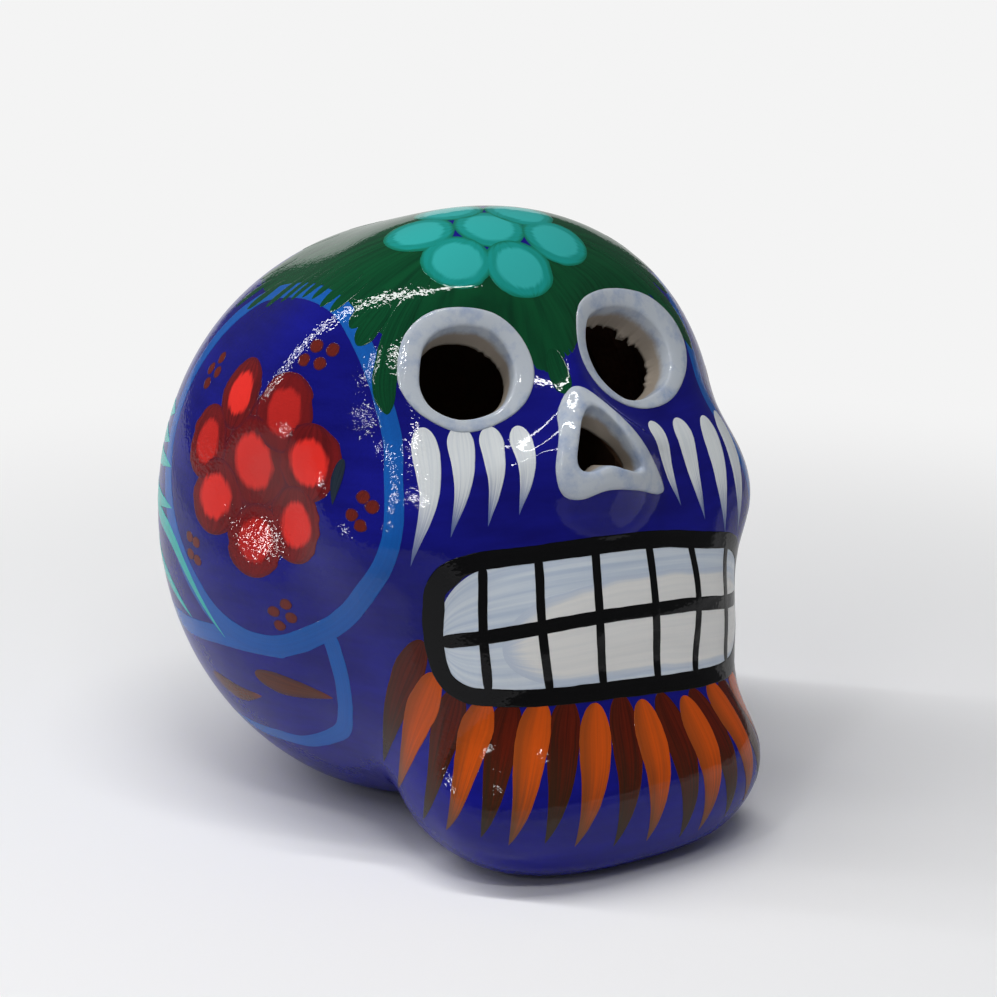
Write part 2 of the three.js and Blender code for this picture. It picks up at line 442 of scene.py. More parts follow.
    def from_heart(self, ways: Points, offset: Points | float = 0.0) -> Points:
        """Places where straight lines from the heart leave the form.

        Args:
            ways: Directions of length one.
            offset: Grows the form outwards, or shrinks it if negative.

        Returns:
            One point for each direction.
        """
        low = np.full(len(ways), self.NEAR_HEART)
        high = np.full(len(ways), self.FAR_FROM_HEART)
        for _ in range(self.HALVINGS):
            middle = (low + high) / 2
            inside = self.distance(self.heart + ways * middle[:, None]) < offset
            low = np.where(inside, middle, low)
            high = np.where(inside, high, middle)
        return self.heart + ways * low[:, None]


# Charts, which turn a painter's measures to places on the clay

class Look(Enum):
    """A straight look at the skull: the axis it runs along, and the end of that axis it starts from."""

    RIGHT = (0, -1)
    LEFT = (0, 1)
    FRONT = (1, -1)
    REAR = (1, 1)
    TOP = (2, 1)


SIDES = (Look.RIGHT, Look.LEFT)


@dataclass
class Charts:
    """Ways to point at a place on the skull in millimetres."""

    form: SkullForm
    muzzle_y: float = -26.5
    mouth_height: float = 41.0
    muzzle_turn: int = 110

    OUTSIDE = (90.0, 90.0, 130.0)  # How far out a look starts, along X, Y and Z.
    OFF_MUZZLE = 70.0
    STEEP = 0.8

    def __post_init__(self) -> None:
        """Measure the way round the muzzle at the height of the mouth, a degree at a time."""
        self._turns = np.radians(np.arange(-self.muzzle_turn, self.muzzle_turn + 1))
        ring = self._round_muzzle(self._turns, np.full(len(self._turns), self.mouth_height))
        steps = np.linalg.norm(np.diff(ring, axis=0), axis=1)
        self._arcs = np.concatenate([[0], np.cumsum(steps)])
        self._arcs -= np.interp(0, self._turns, self._arcs)

    def _round_muzzle(self, turns: Points, z: Points) -> Points:
        """Places seen level, towards the axis of the muzzle.

        Args:
            turns: Angles from the front, to the skull's left.
            z: Heights.

        Returns:
            One point for each angle and height.
        """
        ways = np.stack([np.sin(turns), -np.cos(turns), np.zeros_like(turns)], -1)
        start = np.stack([np.zeros_like(z), np.full_like(z, self.muzzle_y), z], -1) + ways * self.OFF_MUZZLE
        return self.form.meet(start, -ways)

    def seen(self, look: Look, marks: Sequence) -> Points:
        """Places on the side of the skull that a look shows.

        Args:
            look: The look.
            marks: Each place's measures along the other two axes, in the order X, Y, Z.

        Returns:
            One point for each place.
        """
        axis, end = look.value
        start = np.insert(np.asarray(marks, float), axis, end * self.OUTSIDE[axis], axis=1)
        return self.form.meet(start, np.tile(-end * np.eye(3)[axis], (len(start), 1)))

    def wrap(self, marks: Sequence) -> Points:
        """Places at an arc round the muzzle, from its middle to the skull's left, and a height."""
        arc, z = np.asarray(marks, float).T
        return self._round_muzzle(np.interp(arc, self._arcs, self._turns), z)

    def compass(self, centre: Points, bearing: Points, spread: Points,
                offset: Points | float = 0.0) -> Points:
        """Places at bearings and distances from a centre on the clay.

        Args:
            centre: The centre's place.
            bearing: Degrees from forward, or from down at the rear, turning to the skull's right.
            spread: Distances over the clay.
            offset: Heights over the clay.

        Returns:
            One point for each bearing and distance.
        """
        heart = np.array(self.form.heart)
        radius = np.linalg.norm(centre - heart)
        axis = (centre - heart) / radius
        on_top = axis[2] > self.STEEP
        forward = np.array([0, -1.0, 0]) if on_top else np.array([0, 0, -1.0])
        ahead = forward - axis * forward.dot(axis)
        ahead /= np.linalg.norm(ahead)
        aside = np.cross(ahead, axis) if on_top else np.cross(axis, ahead)
        turn, lean = np.radians(bearing), np.asarray(spread) / radius
        flat = np.cos(turn)[:, None] * ahead + np.sin(turn)[:, None] * aside
        return self.form.from_heart(np.cos(lean)[:, None] * axis + np.sin(lean)[:, None] * flat, offset)


def smooth_path(points: Points, shares: Points, closed: bool = False) -> Points:
    """Sample a soft curve through a few places.

    Args:
        points: The places that the curve passes.
        shares: Where along the curve to sample it, from zero to one.
        closed: Whether the curve returns to its start.

    Returns:
        One point for each share.
    """
    points = np.asarray(points, float)
    if closed:
        knots = np.vstack([points[-1:], points, points[:2]])
    else:
        knots = np.vstack([2 * points[:1] - points[1:2], points, 2 * points[-1:] - points[-2:-1]])
    spans = len(knots) - 3
    place = np.clip(np.asarray(shares) * spans, 0, spans - 1e-9)
    k = place.astype(int)
    t = (place - k)[:, None]
    a, b, c, d = knots[k], knots[k + 1], knots[k + 2], knots[k + 3]
    return b + t * ((c - a) + t * ((2 * a - 5 * b + 4 * c - d) + t * (3 * (b - c) + d - a))) / 2


# Finishes

@dataclass(frozen=True)
class Tone:
    """A second colour of a paint: how much of it there is, and the value that it starts to show at."""

    colour: str
    amount: float = 1.0
    start: float = 0.35


class Layer(NamedTuple):
    """A tone that shows where a value goes from the tone's start to an end, in a soft or an even change."""

    value: bpy.types.NodeSocket
    tone: Tone
    end: float
    soft: bool = True


def layered_colour(tree: bpy.types.NodeTree, base: str, layers: Iterable[Layer]) -> bpy.types.NodeSocket:
    """Lay tones over a base colour.

    Args:
        tree: The material's tree.
        base: The base colour.
        layers: The tones, from the lowest.

    Returns:
        Socket with the colour.
    """
    colour = linear_rgba(base)
    for value, tone, end, soft in layers:
        share = add_node(tree, MAP_RANGE, {
            "Value": value, "From Min": tone.start, "From Max": end, "To Max": tone.amount},
            interpolation_type="SMOOTHSTEP" if soft else "LINEAR")
        colour = add_node(tree, "ShaderNodeMix", {
            "Factor_Float": share, "A_Color": colour, "B_Color": linear_rgba(tone.colour)},
            MIXED_COLOUR, data_type="RGBA")
    return colour


@dataclass(frozen=True)
class Varnish:
    """Clear gloss varnish over paint: a hard mirror-like coat, broken up by uneven clay and brushwork.

    Its fine grain is drawn coarser than it is, so that it shows. It is calmer on the face than on the sides.
    """

    weight: float = 0.62
    coat_roughness: float = 0.04
    ior: float = 1.45
    peel_size: float = 0.65
    peel_height: float = 0.045
    peel_detail: float = 1.0
    wave_size: float = 6.0
    wave_height: float = 0.07
    wave_detail: float = 2.0
    calm_half: float = 12.0
    rough_half: float = 32.0
    calm: float = 0.28

    def cover(self, tree: bpy.types.NodeTree, colour: bpy.types.NodeSocket, roughness: float,
              share: bpy.types.NodeSocket | None = None) -> None:
        """Finish a material with a varnished surface.

        Args:
            tree: The material's tree.
            colour: Socket with the paint's colour.
            roughness: Roughness of the paint under the varnish.
            share: Socket with the share of the varnish that is there, if it isn't there all over.
        """
        add = partial(add_node, tree)
        coat = add(MATH, [share, self.weight], operation="MULTIPLY") if share else self.weight
        place = add("ShaderNodeTexCoord", output="Object")
        wave = add(NOISE, {"Vector": place, "Scale": per_metre(self.wave_size), "Detail": self.wave_detail})
        peel = add(NOISE, {"Vector": place, "Scale": per_metre(self.peel_size), "Detail": self.peel_detail})
        aside = add(MATH, [add("ShaderNodeSeparateXYZ", [place])], operation="ABSOLUTE")
        uneven = add(MAP_RANGE, {
            "Value": aside, "From Min": self.calm_half * MM, "From Max": self.rough_half * MM,
            "To Min": self.calm})
        normal = add("ShaderNodeBump", {"Height": wave, "Distance": self.wave_height * MM})
        normal = add("ShaderNodeBump", {
            "Height": peel, "Distance": self.peel_height * MM, "Strength": uneven, "Normal": normal})
        shader = add("ShaderNodeBsdfPrincipled", {
            "Base Color": colour, "Roughness": roughness, "Specular IOR Level": 0.0, "Coat Weight": coat,
            "Coat Roughness": self.coat_roughness, "Coat IOR": self.ior, "Normal": normal,
            "Coat Normal": normal})
        add("ShaderNodeOutputMaterial", {"Surface": shader})


VARNISH = Varnish()


@dataclass(frozen=True)
class BrushPaint:
    """Acrylic paint laid with a small round brush: hair streaks along the mark, thin at tip and edges.

    The streaks of the hairs are drawn wider than they are, so that they show.
    """

    name: str
    body: str
    streak: Tone
    core: Tone | None = None
    side: Tone | None = None
    edge: Tone | None = None
    tip: Tone | None = None
    oval: bool = False
    uneven: float = 0.0
    hairs: float = 5.0
    roughness: float = 0.4

    # The streaks' pattern, and how much it frays what follows the mark's outline or its length.
    LANE_SHIFT = 7.3
    STREAK_SCALE = 1.3
    STREAK_DETAIL = 4.0
    FRAYED_EDGE = 0.3
    FRAYED_TIP = 0.5

    # Where each tone shows in full.
    STREAK_END = 0.7
    CORE_BLUR = 0.2
    DULL_END = 1.0
    SIDE_END = 0.9
    EDGE_END = 1.12
    TIP_END = 1.25

    def material(self) -> bpy.types.Material:
        """Build the paint's material, or give it again if it is there already.

        Returns:
            The material.
        """
        known = bpy.data.materials.get(self.name)
        if known:
            return known
        material = empty_material(self.name)
        tree = material.node_tree
        add = partial(add_node, tree)
        along, across, mark = [add("ShaderNodeAttribute", output="Fac", attribute_name=label)
                               for label in ("along", "across", "mark")]
        hair = add(MATH, [across, self.hairs], operation="MULTIPLY")
        lane = add(MATH, [mark, self.LANE_SHIFT, hair], operation="MULTIPLY_ADD")
        place = add("ShaderNodeCombineXYZ", [lane, along, mark])
        streak = add(NOISE, {"Vector": place, "Scale": self.STREAK_SCALE, "Detail": self.STREAK_DETAIL})
        aside = add(MATH, [across], operation="ABSOLUTE")
        if self.oval:
            square = add(MATH, [across, across], operation="MULTIPLY")
            inner = add(MATH, [1.0, square], operation="SUBTRACT")
            rest = add(MATH, [1.0, along], operation="SUBTRACT")
            middle = add(MATH, [along, rest], operation="MULTIPLY")
            both = add(MATH, [inner, middle], operation="MULTIPLY")
            aside = add(MATH, [both, -4.0, 1.0], operation="MULTIPLY_ADD")
        worn = add(MATH, [streak, self.FRAYED_EDGE, aside], operation="MULTIPLY_ADD")
        tipped = add(MATH, [streak, self.FRAYED_TIP, along], operation="MULTIPLY_ADD")
        layers = [Layer(streak, self.streak, self.STREAK_END)]
        if self.core:
            layers.append(Layer(worn, self.core, self.core.start - self.CORE_BLUR))
        if self.uneven:
            dull = add("ShaderNodeTexWhiteNoise", {"W": mark}, "Value", noise_dimensions="1D")
            layers.append(Layer(dull, Tone(self.body, self.uneven), self.DULL_END))
        for value, tone, end in ((across, self.side, self.SIDE_END), (worn, self.edge, self.EDGE_END),
                                 (tipped, self.tip, self.TIP_END)):
            if tone:
                layers.append(Layer(value, tone, end))
        VARNISH.cover(tree, layered_colour(tree, self.body, layers), self.roughness)
        return material


@dataclass(frozen=True)
class GroundPaint:
    """Cobalt blue acrylic ground on fired clay: uneven brushed coats outside, bare clay inside the shell."""

    name: str = "cobalt_acrylic_on_clay"
    deep: str = "#0d0c66"
    light: Tone = Tone("#151786", start=0.6)
    light_end: float = 1.4
    clay: Tone = Tone("#8a6a52", start=0.6)
    clay_end: float = 1.4
    patch_size: float = 18.0
    streak_size: float = 2.2
    streak_stretch: tuple[float, float, float] = (0.18, 0.18, 1.0)
    detail: float = 3.0
    roughness: float = 0.42

    def material(self) -> bpy.types.Material:
        """Build the ground's material.

        Returns:
            The material.
        """
        material = empty_material(self.name)
        tree = material.node_tree
        add = partial(add_node, tree)
        place = add("ShaderNodeTexCoord", output="Object")
        patch = add(NOISE, {"Vector": place, "Scale": per_metre(self.patch_size), "Detail": self.detail})
        level = add("ShaderNodeMapping", {"Vector": place, "Scale": self.streak_stretch})
        brushed = add(NOISE, {"Vector": level, "Scale": per_metre(self.streak_size), "Detail": self.detail})
        depth = add("ShaderNodeAttribute", output="Fac", attribute_name="depth")
        colour = layered_colour(tree, self.deep, [
            Layer(add(MATH, [patch, brushed]), self.light, self.light_end, False),
            Layer(depth, self.clay, self.clay_end, False)])
        coat = add(MAP_RANGE, {
            "Value": depth, "From Min": self.clay.start, "From Max": self.clay_end,
            "To Min": 1.0, "To Max": 0.0})
        VARNISH.cover(tree, colour, self.roughness, coat)
        return material


@dataclass(frozen=True)
class LipPaint:
    """White acrylic over the lips: thin and bluish in places, worn to grey clay down in the hole."""

    name: str = "white_acrylic_on_clay"
    white: str = "#bec5cd"
    thin: Tone = Tone("#8699bd", 0.85, 0.46)
    thin_end: float = 0.74
    clay: Tone = Tone("#a2978a", start=1.9)
    clay_end: float = 3.2
    patch_size: float = 4.0
    detail: float = 5.0
    patch_roughness: float = 0.65
    ragged: float = 2.0
    roughness: float = 0.4

    def material(self) -> bpy.types.Material:
        """Build the lips' material.

        Returns:
            The material.
        """
        material = empty_material(self.name)
        tree = material.node_tree
        add = partial(add_node, tree)
        patch = add(NOISE, {
            "Vector": add("ShaderNodeTexCoord", output="Object"), "Scale": per_metre(self.patch_size),
            "Detail": self.detail, "Roughness": self.patch_roughness})
        sunk = add("ShaderNodeAttribute", output="Fac", attribute_name="sunk")
        down = add(MATH, [patch, self.ragged, sunk], operation="MULTIPLY_ADD")
        colour = layered_colour(tree, self.white, [
            Layer(patch, self.thin, self.thin_end, False), Layer(down, self.clay, self.clay_end)])
        coat = add(MAP_RANGE, {
            "Value": down, "From Min": self.clay.start, "From Max": self.clay_end,
            "To Min": 1.0, "To Max": 0.0}, interpolation_type="SMOOTHSTEP")
        VARNISH.cover(tree, colour, self.roughness, coat)
        return material


@dataclass(frozen=True)
class BareClay:
    """Unglazed fired clay, matt and grainy, as the coil inside the seam shows it."""

    name: str = "bare_fired_clay"
    dark: str = "#93694f"
    light: Tone = Tone("#b98f72", start=0.0)
    grain_size: float = 0.8
    grain_height: float = 0.05
    detail: float = 4.0
    roughness: float = 0.9

    def material(self) -> bpy.types.Material:
        """Build the clay's material.

        Returns:
            The material.
        """
        material = empty_material(self.name)
        tree = material.node_tree
        add = partial(add_node, tree)
        place = add("ShaderNodeTexCoord", output="Object")
        grain = add(NOISE, {"Vector": place, "Scale": per_metre(self.grain_size), "Detail": self.detail})
        colour = layered_colour(tree, self.dark, [Layer(grain, self.light, 1.0, False)])
        bump = add("ShaderNodeBump", {"Height": grain, "Distance": self.grain_height * MM})
        shader = add("ShaderNodeBsdfPrincipled", {
            "Base Color": colour, "Roughness": self.roughness, "Normal": bump})
        add("ShaderNodeOutputMaterial", {"Surface": shader})
        return material


# The clay pieces

@dataclass
class HoleLip:
    """A clay lip round a hole: a low white roll outside, a rounded mouth, and a thick wall to the throat.

    The three outlines hold the same number of places, across and up from the hole's place on the clay.
    """

    form: SkullForm
    name: str
    node: str
    spot: SurfaceFrame
    edge: Outline
    mouth: Outline
    throat: Outline
    crest: float = 0.25
    wall: float = 4.3
    tear: float = 0.5
    torn_from: float = 2.2
    torn_width: float = 0.9
    seed: int = 3
    steps: int = 240
    # Share of the way from the edge to the mouth, and share of the crest's height.
    roll: Outline = (
        (0.0, 0.0), (0.04, 0.5), (0.14, 0.9), (0.35, 1.0), (0.65, 1.0), (0.86, 0.9), (0.95, 0.5), (1.0, -0.5))
    # Share of the wall's depth, and how much of the torn clay hangs there.
    inside: Outline = ((0.3, 0.0), (0.65, 0.0), (0.9, 0.3), (1.0, 1.0))
    # How far the hidden rear lies outside the mouth, and its share of the wall's depth.
    rear: Outline = ((1.2, 1.0), (1.6, 0.5))

    TUCK = 0.1
    TUCK_DEPTH = 0.6
    MOUTH_DROP = 0.6
    WORN_SHARE = 0.9
    WORN = 0.3
    OUTSIDE = 40.0
    COVER_DEPTH = 15.0
    COVER_SHARE = 0.45
    TEAR_WAVES = range(5, 60)
    TEAR_FALL = 0.7
    TEAR_PHASE = 6.28
    TEAR_BIAS = 0.3
    TEAR_LEAST = 0.15

    def ring(self, outline: Outline, grow: float = 0.0) -> Points:
        """Closed curve through an outline's places.

        Args:
            outline: The places.
            grow: How far the curve is grown away from its middle.

        Returns:
            Places across and up, round the hole.
        """
        curve = smooth_path(np.array(outline), np.arange(self.steps) / self.steps, True)
        away = curve - curve.mean(0)
        return curve + away / np.linalg.norm(away, axis=1)[:, None] * grow

    def covers(self, places: Points) -> Points:
        """Whether places on the clay lie inside a line between the lip's outer edge and its mouth.

        Args:
            places: The places.

        Returns:
            A truth value for each place.
        """
        line = self.ring(self.edge) * (1 - self.COVER_SHARE) + self.ring(self.mouth) * self.COVER_SHARE
        away = line - line.mean(0)
        away = away[np.argsort(np.arctan2(away[:, 1], away[:, 0]))]
        offset = places - self.spot.origin
        flat = np.stack([offset @ self.spot.across, offset @ self.spot.up], -1) - line.mean(0)
        reach = np.interp(np.arctan2(flat[:, 1], flat[:, 0]), np.arctan2(away[:, 1], away[:, 0]),
                          np.linalg.norm(away, axis=1), period=2 * math.pi)
        return (np.linalg.norm(flat, axis=1) < reach) & (np.abs(offset @ self.spot.out) < self.COVER_DEPTH)

    def _on_clay(self, flat: Points, height: float) -> Points:
        """Places over the clay at a height along the hole's own direction."""
        ways = np.tile(-self.spot.out, (len(flat), 1))
        return self.form.meet(self.spot.at(flat[:, 0], flat[:, 1], self.OUTSIDE), ways) - ways * height

    def _tears(self) -> Points:
        """How far torn clay hangs into the throat.

        Returns:
            One distance for each step round the hole.
        """
        rng = np.random.default_rng(self.seed)
        turns = np.linspace(0, 2 * math.pi, self.steps, endpoint=False)
        waves = sum(rng.normal(0, 1 / k ** self.TEAR_FALL)
                    * np.cos(k * turns + rng.uniform(0, self.TEAR_PHASE)) for k in self.TEAR_WAVES)
        apart = np.abs((turns - self.torn_from + math.pi) % (2 * math.pi) - math.pi)
        torn = self.TEAR_LEAST + np.exp(-(apart / self.torn_width) ** 2)
        return self.tear * torn * np.maximum(waves + self.TEAR_BIAS, 0)

    def build(self, material: bpy.types.Material) -> None:
        """Loft the lip through its outlines.

        Args:
            material: Finish of the lip.
        """
        edge, mouth, throat = self.ring(self.edge), self.ring(self.mouth), self.ring(self.throat)
        rings = [self._on_clay(self.ring(self.edge, -self.TUCK), -self.TUCK_DEPTH)]
        sunk = [0.0]
        for share, rise in self.roll:
            rings.append(self._on_clay(edge + (mouth - edge) * share, rise * self.crest))
            sunk.append(0.0 if share < self.WORN_SHARE else self.WORN)
        away = throat - throat.mean(0)
        hanging = away / np.linalg.norm(away, axis=1)[:, None] * self._tears()[:, None]
        for share, hang in self.inside:
            flat = mouth + (throat - mouth) * share - hanging * hang
            rings.append(self._on_clay(flat, -self.MOUTH_DROP * self.crest - share * self.wall))
            sunk.append(share * self.wall)
        for grow, share in self.rear:
            rings.append(self._on_clay(self.ring(self.mouth, grow), -share * self.wall))
            sunk.append(self.wall)
        n, m = self.steps, len(rings)
        faces = [(k * n + i, k * n + (i + 1) % n, (k + 1) % m * n + (i + 1) % n, (k + 1) % m * n + i)
                 for k in range(m) for i in range(n)]
        mesh = mesh_from(self.name, np.vstack(rings), faces)
        dress(closed_piece(mesh, {"sunk": np.repeat(sunk, n)}, material), (self.node,))


@dataclass
class ClayShell:
    """The hollow clay body, with its two halves luted and painted over as one skin."""

    form: SkullForm
    wall: float = 4.0
    fine: int = 7
    coarse: int = 6
    hole_margin: float = 0.8
    cutter_reach: float = 16.0
    cutter_step: int = 4
    sharp_angle: float = 45.0

    def ball(self, name: str, level: int, offset: float) -> bpy.types.Object:
        """The closed form, from a ball of triangles.

        Args:
            name: Name of the object.
            level: How often the ball's triangles are divided.
            offset: How far the form is grown, or shrunk if negative.

        Returns:
            The form.
        """
        ball = bmesh.new()
        bmesh.ops.create_icosphere(ball, subdivisions=level, radius=1)
        mesh = bpy.data.meshes.new(name)
        ball.to_mesh(mesh)
        ball.free()
        ways = vertex_places(mesh)
        places = self.form.from_heart(ways / np.linalg.norm(ways, axis=1)[:, None], offset)
        places[:, 2] = np.maximum(places[:, 2], -min(offset, 0))
        mesh.vertices.foreach_set("co", (places * MM).ravel())
        mesh.update()
        mesh.shade_smooth()
        return object_from(mesh)

    def cutter(self, lip: HoleLip) -> bpy.types.Object:
        """A straight prism through the wall, a little wider than a lip's mouth.

        Args:
            lip: The lip.

        Returns:
            The prism.
        """
        outline = lip.ring(lip.mouth, self.hole_margin)[::self.cutter_step]
        n = len(outline)
        ends = [lip.spot.at(outline[:, 0], outline[:, 1], s * self.cutter_reach) for s in (-1, 1)]
        sides = [(i, (i + 1) % n, n + (i + 1) % n, n + i) for i in range(n)]
        mesh = mesh_from(lip.node + "_cut", np.vstack(ends), [*sides, range(n)[::-1], range(n, 2 * n)])
        face_outwards(mesh)
        return object_from(mesh)

    def build(self, lips: Sequence[HoleLip], material: bpy.types.Material) -> None:
        """Hollow the form out and cut the three holes.

        Args:
            lips: The lips, which cover the edges of the cuts.
            material: Finish of the ground.
        """
        shell = self.ball("shell_outside", self.fine, 0)
        tools = [self.ball("shell_inside", self.coarse, -self.wall), *map(self.cutter, lips)]
        for tool in tools:
            cut = shell.modifiers.new(tool.name, "BOOLEAN")
            cut.operation = "DIFFERENCE"
            cut.solver = "MANIFOLD"
            cut.object = tool
        piece = plain_copy(shell, "skull_shell")
        for tool in tools:
            remove_with_mesh(tool)
        mesh = piece.data
        set_attribute(mesh, "depth", -self.form.distance(vertex_places(mesh) / MM))
        mesh.materials.clear()
        mesh.materials.append(material)
        mesh.set_sharp_from_angle(angle=math.radians(self.sharp_angle))
        dress(piece, ("face_half", "back_half"))


# Outlines of the lips: the outer edge, the mouth and the throat of each hole, across and up

RIGHT_EYE: tuple[Outline, ...] = (
    ((-11.8, 3), (-9.7, 8.5), (-5.2, 11.7), (0.3, 12), (5.6, 10.3), (9.2, 6.2), (10.4, 0.8), (8.2, -4),
     (3, -7.1), (-3.5, -7.9), (-8.8, -4.8), (-11.4, -1)),
    ((-8.2, 2.6), (-6.7, 6.5), (-3.7, 8.6), (0.4, 9), (4.4, 7.6), (6.7, 4.3), (7.1, 0.4), (5.3, -3.4),
     (1.8, -5.4), (-3.1, -5.8), (-7, -3.8), (-8.5, -0.8)),
    ((-7.8, 2.4), (-6.5, 5.3), (-3.8, 7.2), (0, 7.4), (3.8, 6), (6.3, 3), (6.7, -0.6), (5.1, -3.5),
     (1.7, -5.2), (-2.6, -5.5), (-6.1, -3.7), (-7.6, -0.9)))
LEFT_EYE: tuple[Outline, ...] = (
    ((-13.5, 5), (-10.7, 10), (-5.4, 11.8), (1.2, 11.5), (7.6, 9.4), (12, 5.2), (12.8, 0.3), (9.8, -4.5),
     (3.6, -8.2), (-3.9, -8.4), (-10.4, -5.2), (-13.7, 0)),
    ((-11, 4.6), (-8.7, 7.8), (-4.7, 8.9), (0.4, 8.5), (4.8, 6.4), (7.4, 2.6), (7.3, -1.6), (4.2, -5.2),
     (-1.6, -6.8), (-6.8, -6.1), (-10.4, -2.4), (-11.5, 1.2)),
    ((-10, 3.8), (-8.1, 6.4), (-4.8, 7.5), (-0.4, 6.9), (3.4, 5), (5.8, 1.8), (6, -1.9), (3.4, -5),
     (-1.6, -6.6), (-6.4, -5.8), (-9.5, -2.4), (-10.4, 0.8)))
NOSE: tuple[Outline, ...] = (
    ((-1, 10.3), (-4.3, 7.6), (-7, 2.5), (-8.7, -2.2), (-8.3, -6.2), (-5.6, -7.6), (-1, -7), (5, -7.7),
     (11, -8.7), (12.5, -7.2), (8.6, -0.6), (3, 7.2)),
    ((0.2, 6.4), (-2.1, 5), (-4, 2.1), (-5.4, -1.2), (-5.1, -3), (-3.2, -3.6), (-0.2, -3.2), (2.4, -4.1),
     (5.2, -4.8), (6.5, -3.8), (4.8, 0), (2.3, 4.7)),
    ((-0.4, 4), (-2.4, 2.6), (-4, 0.5), (-5.2, -1.6), (-4.8, -3), (-3, -3.5), (-0.2, -2.4), (2.2, -3.8),
     (5, -4.6), (6.2, -3.5), (4.6, -0.4), (1.8, 2.4)))


# Brush marks

class Touch(Enum):
    """How a mark swells and thins along its length: where it is widest, and how it falls off to its tip."""

    LASH = (0.18, 1.15, 1.0)
    BEARD = (0.28, 1.4, 1.0)
    LEAF = (0.42, 1.5, 0.9)
    BLADE = (0.5, 3.5, 0.7)
    OVAL = (0.5, 2.0, 0.5)
    BAND = (0.04, 30.0, 0.6)

    def width(self, along: Points) -> Points:
        """Share of the full width.

        Args:
            along: Shares of the mark's length.

        Returns:
            One share for each.
        """
        belly, fall, point = self.value
        start = np.sqrt(np.clip(1 - (1 - along / belly) ** 2, 0, 1))
        end = (1 - np.clip((along - belly) / (1 - belly), 0, 1) ** fall) ** point
        return np.where(along < belly, start, end)


def round_ended(along: Points, squareness: float) -> Points:
    """Share of the full width of a mark with even sides and round ends."""
    return np.clip(1 - np.abs(2 * along - 1) ** squareness, 0, 1) ** 0.5


def bump_at(along: Points, middle: float, width: float) -> Points:
    """A soft bump of height one at a share of a mark's length."""
    return np.exp(-((along - middle) / width) ** 2)


@dataclass
class Mark:
    """One brush mark: the places it passes, its greatest half width, and its touch or own rule of widths."""

    path: Points
    half_width: float
    touch: Touch = Touch.LEAF
    closed: bool = False
    samples: int = 36
    widths: Callable[[Points], Points] | None = None

    def sampled(self) -> tuple[Points, Points]:
        """Sample the mark, closer together at its ends.

        Returns:
            Points along the mark, and the half width at each.
        """
        count = np.arange(self.samples)
        if self.closed:
            shares = count / self.samples
        else:
            shares = (1 - np.cos(math.pi * count / (self.samples - 1))) / 2
        widths = self.widths or self.touch.width
        return smooth_path(self.path, shares, self.closed), self.half_width * widths(shares)


@dataclass(frozen=True)
class Coat:
    """How high a layer of paint stands over the clay, and how its edge meets what is under it."""

    height: float = 0.02
    edge: float = 0.004
    stack: float = 0.0
    around: int = 20
    wander: float = 0.1
    wander_size: float = 3.0


